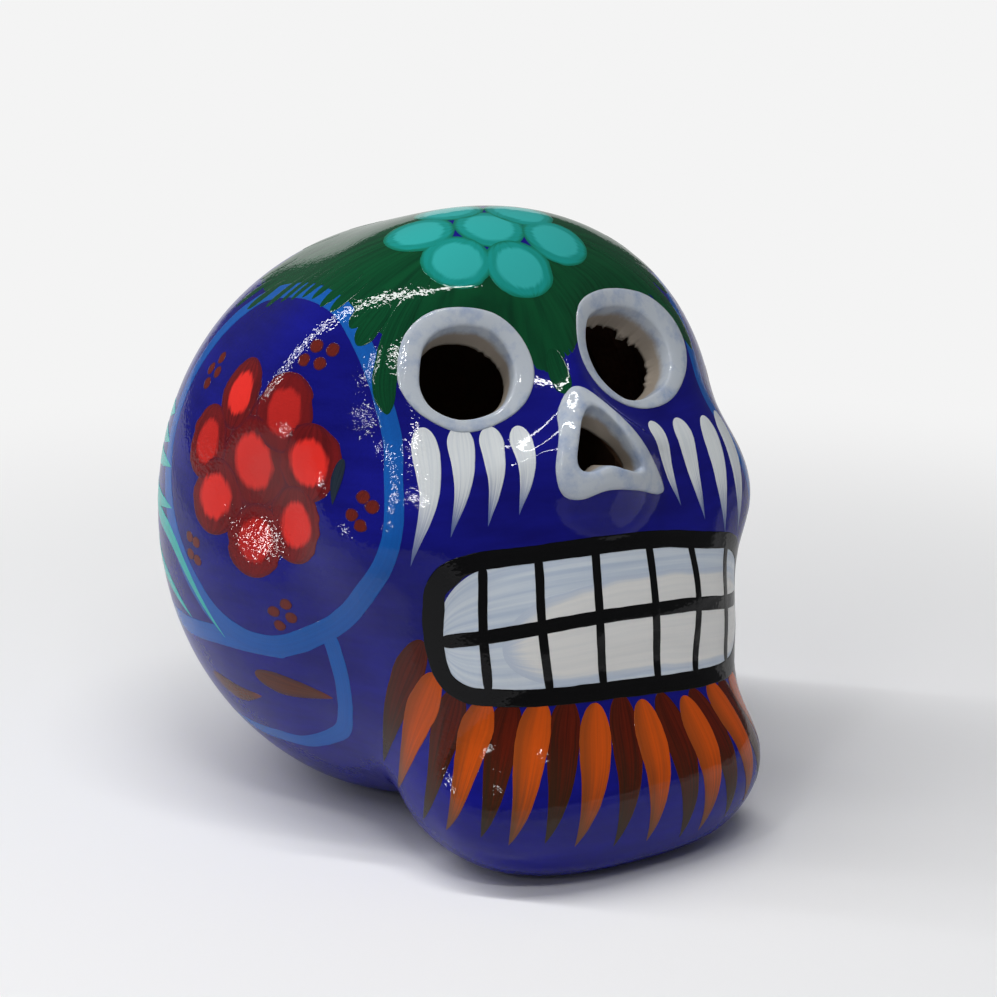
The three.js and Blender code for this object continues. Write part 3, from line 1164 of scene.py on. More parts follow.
class Brush:
    """Lays marks with one Geometry Nodes tree, which sweeps each path to a thin lens on the clay."""

    SINK = 0.15
    THIN = 0.45
    WELD = 0.001
    INPUTS = {
        "Geometry": "Geometry", "Skin": "Object", "Heart": "Vector", "Points Around": "Int",
        "Height": "Float", "Edge": "Float", "Sink": "Float", "Thin": "Float", "Stack": "Float",
        "Wander": "Float", "Wander Size": "Float", "Seed": "Float", "Paint": "Material"}
    KEPT = {"path": "FLOAT_VECTOR", "heading": "FLOAT_VECTOR", "turn": "FLOAT_VECTOR", "half_width": "FLOAT",
            "mark": "FLOAT"}
    SPARE = ("path", "heading", "turn", "half_width")

    def __init__(self, skin: bpy.types.Object, form: SkullForm) -> None:
        """Build the tree.

        Args:
            skin: The closed outer form, which marks are laid on.
            form: The form that gives the heart.
        """
        self.skin = skin
        self.heart = tuple(c * MM for c in form.heart)
        self.sockets: dict[str, str] = {}
        self.tree = self._tree()

    def _tree(self) -> bpy.types.NodeTree:
        """Nodes that sweep each path and lay it on the skin.

        Returns:
            The tree.
        """
        tree = bpy.data.node_groups.new("brush_marks_on_clay", "GeometryNodeTree")
        add = partial(add_node, tree)
        for label, kind in self.INPUTS.items():
            made = tree.interface.new_socket(label, in_out="INPUT", socket_type=f"NodeSocket{kind}")
            self.sockets[label] = made.identifier
        tree.interface.new_socket("Geometry", in_out="OUTPUT", socket_type="NodeSocketGeometry")
        given = add("NodeGroupInput").node.outputs
        position = add("GeometryNodeInputPosition")
        normal = add("GeometryNodeInputNormal")
        skin = add("GeometryNodeObjectInfo", {"Object": given["Skin"]}, "Geometry",
                   transform_space="ORIGINAL")

        # Sweep each path, and keep what its points know.
        curve = add("GeometryNodeMeshToCurve", {"Mesh": given["Geometry"]})
        for label, kind, value in (
                ("path", "FLOAT_VECTOR", position),
                ("heading", "FLOAT_VECTOR", add("GeometryNodeInputTangent")),
                ("along", "FLOAT", add("GeometryNodeSplineParameter", output="Factor")),
                ("mark", "FLOAT", add("GeometryNodeCurveOfPoint", output="Curve Index"))):
            curve = add(STORE, {"Geometry": curve, "Name": label, "Value": value},
                        data_type=kind, domain="POINT")
        profile = add("GeometryNodeCurvePrimitiveCircle", {
            "Resolution": given["Points Around"], "Radius": 1.0})
        profile = add(STORE, {"Geometry": profile, "Name": "turn", "Value": position},
                      data_type="FLOAT_VECTOR", domain="POINT")
        swept = add("GeometryNodeCurveToMesh", {"Curve": curve, "Profile Curve": profile, "Scale": MM})
        kept = {label: add("GeometryNodeInputNamedAttribute", {"Name": label}, data_type=kind)
                for label, kind in self.KEPT.items()}
        turn = add("ShaderNodeSeparateXYZ", [kept["turn"]]).node.outputs

        # Each point's place to the side of its path, with an edge that wanders.
        out = add("GeometryNodeSampleNearestSurface", {
            "Mesh": skin, "Value": normal, "Sample Position": kept["path"]}, "Value",
            data_type="FLOAT_VECTOR")
        sideways = add(VECTOR_MATH, [kept["heading"], out], operation="CROSS_PRODUCT")
        sideways = add(VECTOR_MATH, [sideways], operation="NORMALIZE")
        reach = add(MATH, [turn["X"], kept["half_width"]], operation="MULTIPLY")
        beside = add(VECTOR_MATH, {"Vector": sideways, "Scale": reach}, operation="SCALE")
        noise = add(NOISE, {
            "Vector": add(VECTOR_MATH, [kept["path"], beside]), "W": given["Seed"],
            "Scale": add(MATH, [1.0, given["Wander Size"]], operation="DIVIDE")}, noise_dimensions="4D")
        drift = add(MATH, [noise, 0.5], operation="SUBTRACT")
        drift = add(MATH, [drift, given["Wander"]], operation="MULTIPLY")
        drift = add(MATH, [drift, 2.0, 1.0], operation="MULTIPLY_ADD")
        beside = add(VECTOR_MATH, {"Vector": beside, "Scale": drift}, operation="SCALE")
        flat = add(VECTOR_MATH, [kept["path"], beside])

        # Its place on the skin, seen from the heart.
        way = add(VECTOR_MATH, [flat, given["Heart"]], operation="SUBTRACT")
        way = add(VECTOR_MATH, [way], operation="NORMALIZE")
        ray = add("GeometryNodeRaycast", {
            "Target Geometry": skin, "Attribute": normal, "Source Position": given["Heart"],
            "Ray Direction": way, "Ray Length": 1.0}, data_type="FLOAT_VECTOR").node.outputs

        # Its height over the skin: the crown stands proud, the edge just shows, and the underside is hidden.
        full = add(MATH, [kept["half_width"], given["Thin"]], operation="DIVIDE")
        full = add(MATH, [full, 1.0], operation="MINIMUM")
        crown = add(MATH, [turn["Y"], 0.0], operation="MAXIMUM")
        crown = add(MATH, [crown, 0.5], operation="POWER")
        raised = add(MATH, [kept["mark"], given["Stack"], given["Height"]], operation="MULTIPLY_ADD")
        raised = add(MATH, [raised, given["Edge"]], operation="SUBTRACT")
        above = add(MATH, [crown, raised], operation="MULTIPLY")
        above = add(MATH, [above, full], operation="MULTIPLY")
        hidden = add(MATH, [turn["Y"], 0.0], operation="MINIMUM")
        hidden = add(MATH, [hidden, given["Sink"]], operation="MULTIPLY")
        height = add(MATH, [hidden, full, above], operation="MULTIPLY_ADD")
        height = add(MATH, [height, given["Edge"]])
        lifted = add(VECTOR_MATH, {"Vector": ray["Attribute"], "Scale": height}, operation="SCALE")
        place = add(VECTOR_MATH, [ray["Hit Position"], lifted])

        laid = add("GeometryNodeSetPosition", {"Geometry": swept, "Position": place})
        laid = add(STORE, {"Geometry": laid, "Name": "across", "Value": turn["X"]},
                   data_type="FLOAT", domain="POINT")
        laid = add("GeometryNodeMergeByDistance", {"Geometry": laid, "Distance": self.WELD * MM})
        laid = add("GeometryNodeSetShadeSmooth", {"Geometry": laid})
        real = add("GeometryNodeRealizeInstances", {"Geometry": laid})
        painted = add("GeometryNodeSetMaterial", {"Geometry": real, "Material": given["Paint"]})
        add("NodeGroupOutput", [painted])
        return tree

    def paint(self, name: str, marks: Sequence[Mark], paint: BrushPaint, coat: Coat, seed: int) -> None:
        """Lay marks of one paint.

        Args:
            name: Name of the finished piece.
            marks: The marks, in the order that they are painted.
            paint: Their paint.
            coat: How thick the paint lies.
            seed: Seed of the wandering edges.
        """
        places, edges, widths = [], [], []
        for mark in marks:
            path, half = mark.sampled()
            first = len(places)
            places.extend(path)
            widths.extend(half)
            edges.extend((first + i, first + i + 1) for i in range(len(path) - 1))
            if mark.closed:
                edges.append((first + len(path) - 1, first))
        mesh = mesh_from(name + "_paths", np.array(places), [], edges)
        set_attribute(mesh, "half_width", np.array(widths) * MM)
        live = object_from(mesh)
        modifier = live.modifiers.new("marks", "NODES")
        modifier.node_group = self.tree
        values = {
            "Skin": self.skin, "Heart": self.heart, "Points Around": coat.around, "Height": coat.height * MM,
            "Edge": coat.edge * MM, "Sink": self.SINK * MM, "Thin": self.THIN * MM, "Stack": coat.stack * MM,
            "Wander": coat.wander, "Wander Size": coat.wander_size * MM, "Seed": float(seed),
            "Paint": paint.material()}
        for label, value in values.items():
            modifier[self.sockets[label]] = value
        piece = plain_copy(live, name)
        for spare in self.SPARE:
            piece.data.attributes.remove(piece.data.attributes[spare])
        face_outwards(piece.data)
        dress(piece)


# Paints, all of them acrylic: an opaque even film that keeps the streaks of the brush

TEAL = BrushPaint("teal_acrylic", "#189088", Tone("#158579", 0.6), core=Tone("#32a8a4", start=0.73),
                  edge=Tone("#0d6a4c", 0.8, 0.87), oval=True)
LEAF_TURQUOISE = BrushPaint("turquoise_leaf_acrylic", "#35b5b0", Tone("#279d9a", 0.6))
LEAF_GREEN = BrushPaint("dark_green_acrylic", "#0a4a2a", Tone("#063620", 0.8))
BAND_BLUE = BrushPaint("azure_acrylic", "#145aac", Tone("#154e9c", 0.5))
RED_BROWN = BrushPaint("red_brown_acrylic", "#70181b", Tone("#4e1318", 0.8), edge=Tone("#2a1240", 0.9, 0.75),
                       oval=True)
RED_PETAL = BrushPaint("red_petal_acrylic", "#74191b", Tone("#561417", 0.8), core=Tone("#ea322a", start=0.59),
                       edge=Tone("#43142a", 0.45, 0.87), oval=True, uneven=0.6)
DOT_BROWN = BrushPaint("russet_acrylic", "#6c231b", Tone("#521c18", 0.6), edge=Tone("#34173e", 0.8, 0.65),
                       oval=True)
# Dark slate colour of the one dark mark at the right edge of the right flower, laid with the brush like the
# paints.
SLATE = BrushPaint("slate_acrylic", "#26323d", Tone("#1a2230", 0.8), edge=Tone("#1c1a3c", 0.6, 0.7))
LASH_WHITE = BrushPaint("white_lash_acrylic", "#dde1e2", Tone("#c2cad2", 0.5),
                        tip=Tone("#55679a", start=0.75))
BEARD_BROWN = BrushPaint("red_brown_beard_acrylic", "#581707", Tone("#330f06", 0.8),
                         side=Tone("#321c0e", 0.3, -0.2), tip=Tone("#302617", start=0.5))
BEARD_ORANGE = BrushPaint("orange_beard_acrylic", "#c64f10", Tone("#a34614", 0.6),
                          side=Tone("#743d18", 0.65, -0.2), tip=Tone("#604026", start=0.65))
TOOTH_BLUE = BrushPaint("thin_white_acrylic", "#d3dbe3", Tone("#b3c1d4", 0.9), hairs=7.0)
TOOTH_WHITE = BrushPaint("white_tooth_acrylic", "#e6e5e2", Tone("#dadbda", 0.6),
                         edge=Tone("#b4c2d6", 0.8, 0.87), oval=True, hairs=7.0)
MOUTH_BLACK = BrushPaint("black_acrylic", "#080809", Tone("#0e0e0f", 0.5))
LEAF_BROWN = BrushPaint("umber_acrylic", "#5c2a17", Tone("#452118", 0.7), edge=Tone("#33203a", 0.5, 0.7),
                        tip=Tone("#6b2418", start=1.05))
OCHRE = BrushPaint("ochre_petal_acrylic", "#8a5a1a", Tone("#6d4718", 0.6), core=Tone("#dcb12a", start=0.69),
                   edge=Tone("#3a2a3a", 0.7, 0.8), oval=True)


# Painted ornament

@dataclass
class CrownFlower:
    """Turquoise flower on the crown, on a painted green cap whose edge runs out in brush tips.

    Bearings are degrees from the front, turning to the skull's right.
    """

    charts: Charts
    brush: Brush
    lips: Sequence[HoleLip]
    middle: tuple[float, float] = (-3.0, -13.0)
    # Bearing and distance of each outer petal.
    petals: Outline = ((114, 11.5), (62, 11), (2, 10), (-64, 11.2), (-116, 9.5), (172, 10))
    petal_half: float = 5.8
    petal_bearings: tuple[float, float, float] = (120, 0, -60)
    petal_coat: Coat = Coat(0.045, 0.025, stack=0.001, around=36)
    cap_start: float = 10.0
    # Bearings, and how far the cap reaches there.
    cap_reach: Outline = (
        (-180, 36), (-160, 42), (-147, 49), (-136, 46.5), (-128, 42), (-121, 38), (-110, 34), (-96, 32.5),
        (-89, 32.5), (-80, 33.5), (-70, 33), (-60, 30), (-20, 29), (-13, 25), (-7, 26.5), (-2, 27), (5, 28.5),
        (9, 27.5), (11, 25.6), (13, 25), (20, 28), (60, 29), (66, 31), (72, 30), (81, 29.4), (89, 29),
        (96, 28.8), (110, 29.9), (121, 34), (128, 38.5), (136, 43), (147, 47), (160, 42), (180, 36))
    # Bearing, reach and half width of each brush tip.
    tips: tuple[tuple[float, float, float], ...] = (
        (1.6, 33.2, 1.6), (76.2, 33.4, 1.8), (81.6, 31.6, 1.6), (92, 31.4, 1.1), (97.4, 31.8, 1.1),
        (104.2, 32, 0.9), (109.6, 33.2, 0.9), (114.4, 35.2, 0.9), (119, 37.3, 0.9), (124.5, 40.8, 1.1),
        (133, 46, 1.3), (141, 50.5, 1.2), (150, 47.5, 1.6), (163, 43.5, 1.8), (175, 39.5, 1.8),
        (-170, 41, 1.8), (-157, 46, 1.7), (-148, 52, 1.3), (-140, 51, 1.2), (-131, 46.5, 1.1),
        (-124, 42.5, 1.0), (-117, 39.5, 0.9), (-110, 37.4, 0.9), (-103, 36, 0.9), (-95, 35.4, 1.1),
        (-86, 36, 1.5), (-78, 37.5, 1.6))
    tip_length: float = 9.0
    tip_points: int = 4
    # Bearings and distances along each drip.
    drips: tuple[Outline, ...] = (
        ((70, 16), (68, 27), (64.5, 36), (60.4, 41.7)), ((-72, 18), (-71, 30), (-69, 39), (-66, 45)))
    drip_half: float = 2.0
    tip_coat: Coat = Coat(0.035, 0.012, stack=0.0003)
    rounds: int = 300
    rings: int = 30
    tries: int = 80
    cap_height: float = 0.02
    cap_edge: float = 0.01
    cap_squareness: int = 12
    cap_sink: float = 0.15
    streaks: float = 2.5

    def _reach(self, centre: Points, bearings: Points) -> Points:
        """How far the cap goes before it ends or runs under the lip of an eye.

        Args:
            centre: The flower's middle.
            bearings: The bearings.

        Returns:
            One distance for each bearing.
        """
        reach = np.interp(bearings, *np.array(self.cap_reach).T)
        tries = self.cap_start + (reach[:, None] - self.cap_start) * np.linspace(0, 1, self.tries)
        places = self.charts.compass(centre, np.repeat(bearings, self.tries), tries.ravel())
        blocked = np.any([lip.covers(places) for lip in self.lips], axis=0).reshape(tries.shape)
        return np.where(blocked.any(1), tries[np.arange(len(bearings)), blocked.argmax(1)], reach)

    def _cap(self, centre: Points) -> None:
        """Lay the green cap as a thin closed skin.

        Args:
            centre: The flower's middle.
        """
        n, m = self.rounds, self.rings
        bearings = np.linspace(-180, 180, n, endpoint=False)
        shares = np.linspace(0, 1, m)
        spreads = self.cap_start + (self._reach(centre, bearings)[:, None] - self.cap_start) * shares
        crown = self.cap_height * (1 - np.abs(2 * shares - 1) ** self.cap_squareness) - self.cap_edge
        skins = [self.charts.compass(centre, np.repeat(bearings, m), spreads.ravel(), np.tile(offset, n))
                 for offset in (crown, np.full(m, -self.cap_sink))]
        faces = []
        for i in range(n):
            here, there = i * m, (i + 1) % n * m
            under, under_there = n * m + here, n * m + there
            for j in range(m - 1):
                faces.append((here + j, here + j + 1, there + j + 1, there + j))
                faces.append((under_there + j, under_there + j + 1, under + j + 1, under + j))
            faces.append((here, there, under_there, under))
            faces.append((there + m - 1, here + m - 1, under + m - 1, under_there + m - 1))
        turn = np.tile(np.repeat(np.radians(bearings), m), 2)
        lanes = {"along": np.tile(shares, 2 * n), "across": self.streaks * np.sin(turn),
                 "mark": self.streaks * np.cos(turn)}
        dress(closed_piece(mesh_from("crown_cap", np.vstack(skins), faces), lanes, LEAF_GREEN.material()))

    def build(self) -> None:
        """Paint the cap and its tips, then the petals."""
        centre = self.charts.seen(Look.TOP, [self.middle])[0]
        self._cap(centre)
        tips = []
        for bearing, reach, half in self.tips:
            spreads = np.linspace(reach - self.tip_length, reach, self.tip_points)
            path = self.charts.compass(centre, np.full(self.tip_points, bearing), spreads)
            tips.append(Mark(path, half, Touch.BLADE))
        for drip in self.drips:
            tips.append(Mark(self.charts.compass(centre, *np.array(drip).T), self.drip_half, Touch.BLADE))
        self.brush.paint("crown_tips", tips, LEAF_GREEN, self.tip_coat, seed=5)
        half = self.petal_half
        paths = [self.charts.compass(centre, np.array(self.petal_bearings), np.array([half, 0, half]))]
        for bearing, spread in self.petals:
            spreads = spread + np.array([-half, 0, half])
            paths.append(self.charts.compass(centre, np.full(3, bearing), spreads))
        petals = [Mark(path, half, Touch.OVAL) for path in paths]
        self.brush.paint("crown_petals", petals, TEAL, self.petal_coat, seed=2)


@dataclass
class SidePanel:
    """One side of the head: an azure band round a red flower with dots, and a lower field with leaf marks.

    Places are along Y and Z, seen from the side.
    """

    charts: Charts
    brush: Brush
    look: Look
    ring: Outline = (
        (-4.3, 89.3), (4.6, 88.3), (13, 86), (18.6, 82), (22, 76.4), (23.8, 69.6), (23.2, 61), (18.8, 51.8),
        (13.6, 45.4), (8.2, 40.2), (2.4, 36), (-4.3, 34), (-10.9, 34.4), (-18.3, 38), (-24.3, 42.3),
        (-30.5, 48.7), (-33.1, 53.5), (-32.9, 58.7), (-29.7, 64.9), (-26.7, 70.3), (-22.4, 78.2),
        (-18, 83.6), (-12.1, 87.9))
    ring_width: float = 1.2
    ring_swell: float = 0.2
    ring_widest: float = 0.35
    ring_samples: int = 260
    branch: Outline = (
        (-19.5, 38.3), (-20.2, 35.6), (-20.4, 29.6), (-18.7, 23.9), (-15.1, 19.5), (-6.3, 15.4), (1.3, 14.7),
        (18, 14.8))
    branch_samples: int = 90
    shelf: Outline = ((-12, 34), (-2.5, 33.4), (5, 32.9), (15.1, 31.7), (26, 31.2), (34, 31))
    shelf_width: float = 1.2
    shelf_samples: int = 60
    band_half: float = 1.5
    band_coat: Coat = Coat(0.015, stack=0.003)
    # Place and size of each petal.
    flower: tuple[tuple[float, float, float], ...] = (
        (-5.1, 63.7, 1.2), (1.4, 73.3, 0.9), (-10.7, 72.4, 1.0), (7.5, 64.6, 0.95), (-16.6, 65.5, 1.0),
        (2.9, 56.7, 1.0), (-6.5, 51.2, 0.95), (-14.4, 55.2, 1.0))
    petal_half: float = 6.2
    petal_tall: float = 1.0
    petal_coat: Coat = Coat(0.035, 0.022, 0.0015, 36, wander=0.25)
    base_half: float = 11.0
    base_tall: float = 0.95
    base_coat: Coat = Coat(0.015, around=48, wander=0.3)
    # Place and turn of each group of dots, and the dots of a group.
    dots: tuple[tuple[float, float, float], ...] = (
        (14.2, 74.4, 20), (-12.8, 81.6, 70), (-28, 59.9, -10), (-12.3, 40.1, 30), (8.1, 46.9, -30))
    dot_group: Outline = ((0.2, 2.1), (-1.5, 0.6), (1.4, -0.5), (-0.3, -2.1))
    dot_half: float = 1.25
    dot_tall: float = 0.75
    dot_coat: Coat = Coat(0.012, around=12, wander=0.4, wander_size=1.5)
    # Path and half width of each leaf mark.
    leaves: tuple[tuple[Outline, float], ...] = (
        (((-3, 27.7), (-9.3, 26.8), (-17.5, 26.4)), 2.2), (((12, 23.6), (5.2, 22.2), (-2, 23.2)), 2.0))
    leaf_coat: Coat = Coat()
    # Path of a dark slate mark at the edge of the flower, on a side that has one, and its half width and coat.
    smear: Outline = ()
    smear_half: float = 1.1
    smear_coat: Coat = Coat(0.06, 0.05)

    def _ring_widths(self, along: Points) -> Points:
        """Share of the band's width along the ring."""
        return self.ring_width + self.ring_swell * np.cos(2 * math.pi * (along - self.ring_widest))

    def _blob(self, y: float, z: float, half: float, tall: float) -> Mark:
        """An upright oval touch of the brush."""
        path = self.charts.seen(self.look, [(y, z + half * tall * s) for s in (1, 0, -1)])
        return Mark(path, half, Touch.OVAL)

    def _paint(self, what: str, marks: Sequence[Mark], paint: BrushPaint, coat: Coat, seed: int) -> None:
        """Lay marks as a piece that is named after this side."""
        self.brush.paint(f"{self.look.name.lower()}_{what}", marks, paint, coat, seed)

    def build(self) -> None:
        """Paint the band, the flower, the dots and the lower field."""
        seen = partial(self.charts.seen, self.look)
        bands = [
            Mark(seen(self.ring), self.band_half, closed=True, samples=self.ring_samples,
                 widths=self._ring_widths),
            Mark(seen(self.branch), self.band_half, Touch.BAND, samples=self.branch_samples),
            Mark(seen(self.shelf), self.band_half * self.shelf_width, Touch.BAND, samples=self.shelf_samples),
        ]
        self._paint("bands", bands, BAND_BLUE, self.band_coat, seed=7)
        base = self._blob(*self.flower[0][:2], self.base_half, self.base_tall)
        self._paint("flower_ground", [base], RED_BROWN, self.base_coat, seed=8)
        petals = [self._blob(y, z, self.petal_half * size, self.petal_tall) for y, z, size in self.flower]
        self._paint("petals", petals, RED_PETAL, self.petal_coat, seed=9)
        dots = []
        for y, z, turn in self.dots:
            c, s = math.cos(math.radians(turn)), math.sin(math.radians(turn))
            for a, b in self.dot_group:
                dots.append(self._blob(y + a * c - b * s, z + a * s + b * c, self.dot_half, self.dot_tall))
        self._paint("dots", dots, DOT_BROWN, self.dot_coat, seed=10)
        leaves = [Mark(seen(path), half) for path, half in self.leaves]
        self._paint("field_leaves", leaves, LEAF_BROWN, self.leaf_coat, seed=12)
        if self.smear:
            self._paint("smear", [Mark(seen(self.smear), self.smear_half)], SLATE, self.smear_coat, seed=13)


@dataclass
class BackFlower:
    """Back of the head, which doesn't show in the photograph: a yellow flower in thin turquoise leaves."""

    charts: Charts
    brush: Brush
    middle: tuple[float, float] = (0.0, 60.0)
    # Bearing and reach of the leaves round the flower, on either side.
    leaves: Outline = (
        (6, 26), (20, 27), (34, 29), (48, 31), (64, 30), (84, 29), (104, 30), (122, 33), (142, 32), (160, 30),
        (174, 28))
    leaf_start: float = 16.0
    leaf_points: int = 4
    leaf_sway: float = 3.0
    leaf_half: tuple[float, float] = (0.9, 1.2)
    leaf_coat: Coat = Coat(0.04, 0.022, stack=0.0005)
    # Leaves that reach forward on the sides, along Y and Z.
    reaching: tuple[Outline, ...] = (
        ((33, 50), (25.5, 48.6), (17.7, 46.8), (11, 42.2), (1.7, 32.9)),
        ((34, 43), (27, 40), (19.7, 37.3), (12.1, 33.8)),
        ((36, 51.6), (27.7, 50.9), (17.2, 51.4)), ((38, 56.5), (30, 57), (20, 57.6)),
        ((38, 60), (31, 60.5), (24, 60.8)), ((37, 64), (31, 64.6), (26, 65)))
    reaching_half: float = 1.5
    band: Outline = ((-38, 31), (-30, 30.8), (-20, 30.5), (-8, 30.4))
    band_half: float = 1.8
    band_samples: int = 120
    band_coat: Coat = Coat(0.02, 0.008)
    ring: float = 11.0
    petals: int = 7
    petal_half: float = 5.7
    petal_tall: float = 1.1
    petal_coat: Coat = Coat(0.035, 0.022, 0.0015, 36)
    seed: int = 4

    def build(self) -> None:
        """Paint the band, the leaves and the petals."""
        centre = self.charts.seen(Look.REAR, [self.middle])[0]
        rng = np.random.default_rng(self.seed)
        sway = np.linspace(1, 0, self.leaf_points)
        leaves = []
        for bearing, reach in self.leaves:
            for side in (-1, 1):
                bearings = side * (bearing + rng.uniform(-self.leaf_sway, self.leaf_sway) * sway)
                spreads = np.linspace(self.leaf_start, reach, self.leaf_points)
                path = self.charts.compass(centre, bearings, spreads)
                leaves.append(Mark(path, rng.uniform(*self.leaf_half)))
        for path in self.reaching:
            leaves += [Mark(self.charts.seen(look, path), self.reaching_half) for look in SIDES]
        path = self.charts.seen(Look.REAR, [*self.band, *((-x, z) for x, z in reversed(self.band))])
        band = Mark(path, self.band_half, Touch.BAND, samples=self.band_samples)
        self.brush.paint("back_band", [band], BAND_BLUE, self.band_coat, seed=22)
        self.brush.paint("back_leaves", leaves, LEAF_TURQUOISE, self.leaf_coat, seed=14)
        bearings = np.arange(0, 360, 360 / self.petals)
        spots = [centre, *self.charts.compass(centre, bearings, np.full(self.petals, self.ring))]
        tall = np.array([0, 0, self.petal_half * self.petal_tall])
        petals = [Mark(np.array([spot + tall * s for s in (1, 0, -1)]), self.petal_half, Touch.OVAL)
                  for spot in spots]
        self.brush.paint("back_petals", petals, OCHRE, self.petal_coat, seed=15)


@dataclass
class Lashes:
    """White lash marks under each eye, which thin to bluish tips.

    Each mark has its start and its end along X and Z, seen from the front, and its half width.
    """

    charts: Charts
    brush: Brush
    marks: tuple[tuple[float, ...], ...] = (
        (-25.7, 71.8, -32.5, 52.2, 2.25), (-20, 71.6, -26.4, 56.3, 2.25), (-15.4, 71.2, -20.1, 57.3, 2.0),
        (-11.1, 71, -14.8, 58.5, 1.8), (13.9, 68.6, 15.9, 55.5, 1.8), (20.1, 68, 20.9, 52.4, 2.0),
        (26.7, 67.2, 25.7, 49, 2.1), (31.4, 66.8, 29.8, 48, 2.0))
    bend: float = 0.39
    samples: int = 56
    coat: Coat = Coat(0.032, 0.014)

    def build(self) -> None:
        """Paint the lashes of both sides, each bent a little outwards."""
        lashes = []
        for x0, z0, x1, z1, half in self.marks:
            path = [(x0, z0), (x0 + (x1 - x0) * self.bend, (z0 + z1) / 2), (x1, z1)]
            lashes.append(Mark(self.charts.seen(Look.FRONT, path), half, Touch.LASH, samples=self.samples))
        self.brush.paint("lashes", lashes, LASH_WHITE, self.coat, seed=16)


@dataclass
class Mouth:
    """Bared teeth: a thin bluish white field, a whiter patch on it, and black lines round the teeth.

    Places are along the arc round the muzzle and along Z.
    """

    charts: Charts
    brush: Brush
    outline: Outline = (
        (-31.9, 44.5), (-31.4, 48.6), (-29, 51.4), (-25.5, 52.4), (-17.7, 52.6), (-4.2, 52.8), (9.9, 51.9),
        (22.9, 49.4), (30.6, 46.8), (34.5, 41.5), (32.5, 33.5), (25, 28.6), (13, 29), (3.9, 30), (-5.5, 30.7),
        (-13.4, 31), (-21.7, 31.4), (-26.2, 31.9), (-29.8, 34.2), (-31.7, 39))
    outline_half: float = 1.4
    outline_samples: int = 160
    # Extra width of the outline at its start and how far that spreads. At the upper corner on the skull's
    # right, extra width, its place along the outline and its spread.
    start_swell: tuple[float, float] = (0.25, 0.05)
    corner_swell: tuple[float, float, float] = (0.4, 0.08, 0.035)
    middle: Outline = (
        (-31, 40), (-23.8, 40.9), (-14.8, 41.8), (-5.2, 42.1), (5.5, 41.6), (15.4, 40.5),
        (26, 38.3), (34.3, 37.4))
    middle_half: float = 1.1
    middle_samples: int = 70
    # Arc of each line between teeth at its top, its middle and its foot, and heights of these at three arcs.
    columns: tuple[tuple[float, float, float], ...] = (
        (-25.4, -24.2, -22.9), (-15.9, -14.8, -13.4), (-4.2, -4.7, -4.7), (8, 6.3, 4.8), (18.5, 16.3, 12.1),
        (28.4, 25.2, 21.1))
    column_half: float = 0.75
    column_arcs: tuple[float, float, float] = (-31, 0, 31)
    column_tops: tuple[float, float, float] = (51, 53, 47.2)
    column_feet: tuple[float, float, float] = (33, 30.2, 28)
    column_middle: float = 41.5
    line_coat: Coat = Coat(0.075, 0.06, stack=0.001, wander=0.16)
    field_lift: float = 0.2
    field_half: float = 11.2
    field_squareness: float = 5.0
    field_samples: int = 120
    field_coat: Coat = Coat(0.018, around=96, wander=0.0)
    patch: Outline = ((-21, 38.6), (-10, 39.6), (2, 39.8), (14, 38.6), (26, 36.5), (33, 35.6))
    patch_half: float = 7.8
    patch_squareness: float = 4.0
    patch_samples: int = 90
    patch_coat: Coat = Coat(0.035, 0.024, around=72, wander=0.12, wander_size=8)

    def _outline_widths(self, along: Points) -> Points:
        """Share of the outline's width along it.

        Args:
            along: Shares of its length.

        Returns:
            One share for each.
        """
        start, corner = self.start_swell, self.corner_swell
        from_start = np.minimum(along, 1 - along)
        return 1 + start[0] * bump_at(from_start, 0, start[1]) + corner[0] * bump_at(along, *corner[1:])

    def build(self) -> None:
        """Paint the field, the patch and the lines."""
        wrap = self.charts.wrap
        teeth = Mark(wrap([(arc, z + self.field_lift) for arc, z in self.middle]), self.field_half,
                     samples=self.field_samples,
                     widths=partial(round_ended, squareness=self.field_squareness))
        self.brush.paint("teeth_field", [teeth], TOOTH_BLUE, self.field_coat, seed=17)
        patch = Mark(wrap(self.patch), self.patch_half, samples=self.patch_samples,
                     widths=partial(round_ended, squareness=self.patch_squareness))
        self.brush.paint("teeth_white", [patch], TOOTH_WHITE, self.patch_coat, seed=18)
        lines = [
            Mark(wrap(self.outline), self.outline_half, closed=True, samples=self.outline_samples,
                 widths=self._outline_widths),
            Mark(wrap(self.middle), self.middle_half, Touch.BAND, samples=self.middle_samples),
        ]
        for top, middle, foot in self.columns:
            up = np.interp(top, self.column_arcs, self.column_tops)
            down = np.interp(foot, self.column_arcs, self.column_feet)
            path = wrap([(top, up), (middle, self.column_middle), (foot, down)])
            lines.append(Mark(path, self.column_half, Touch.BAND))
        self.brush.paint("mouth_lines", lines, MOUTH_BLACK, self.line_coat, seed=19)


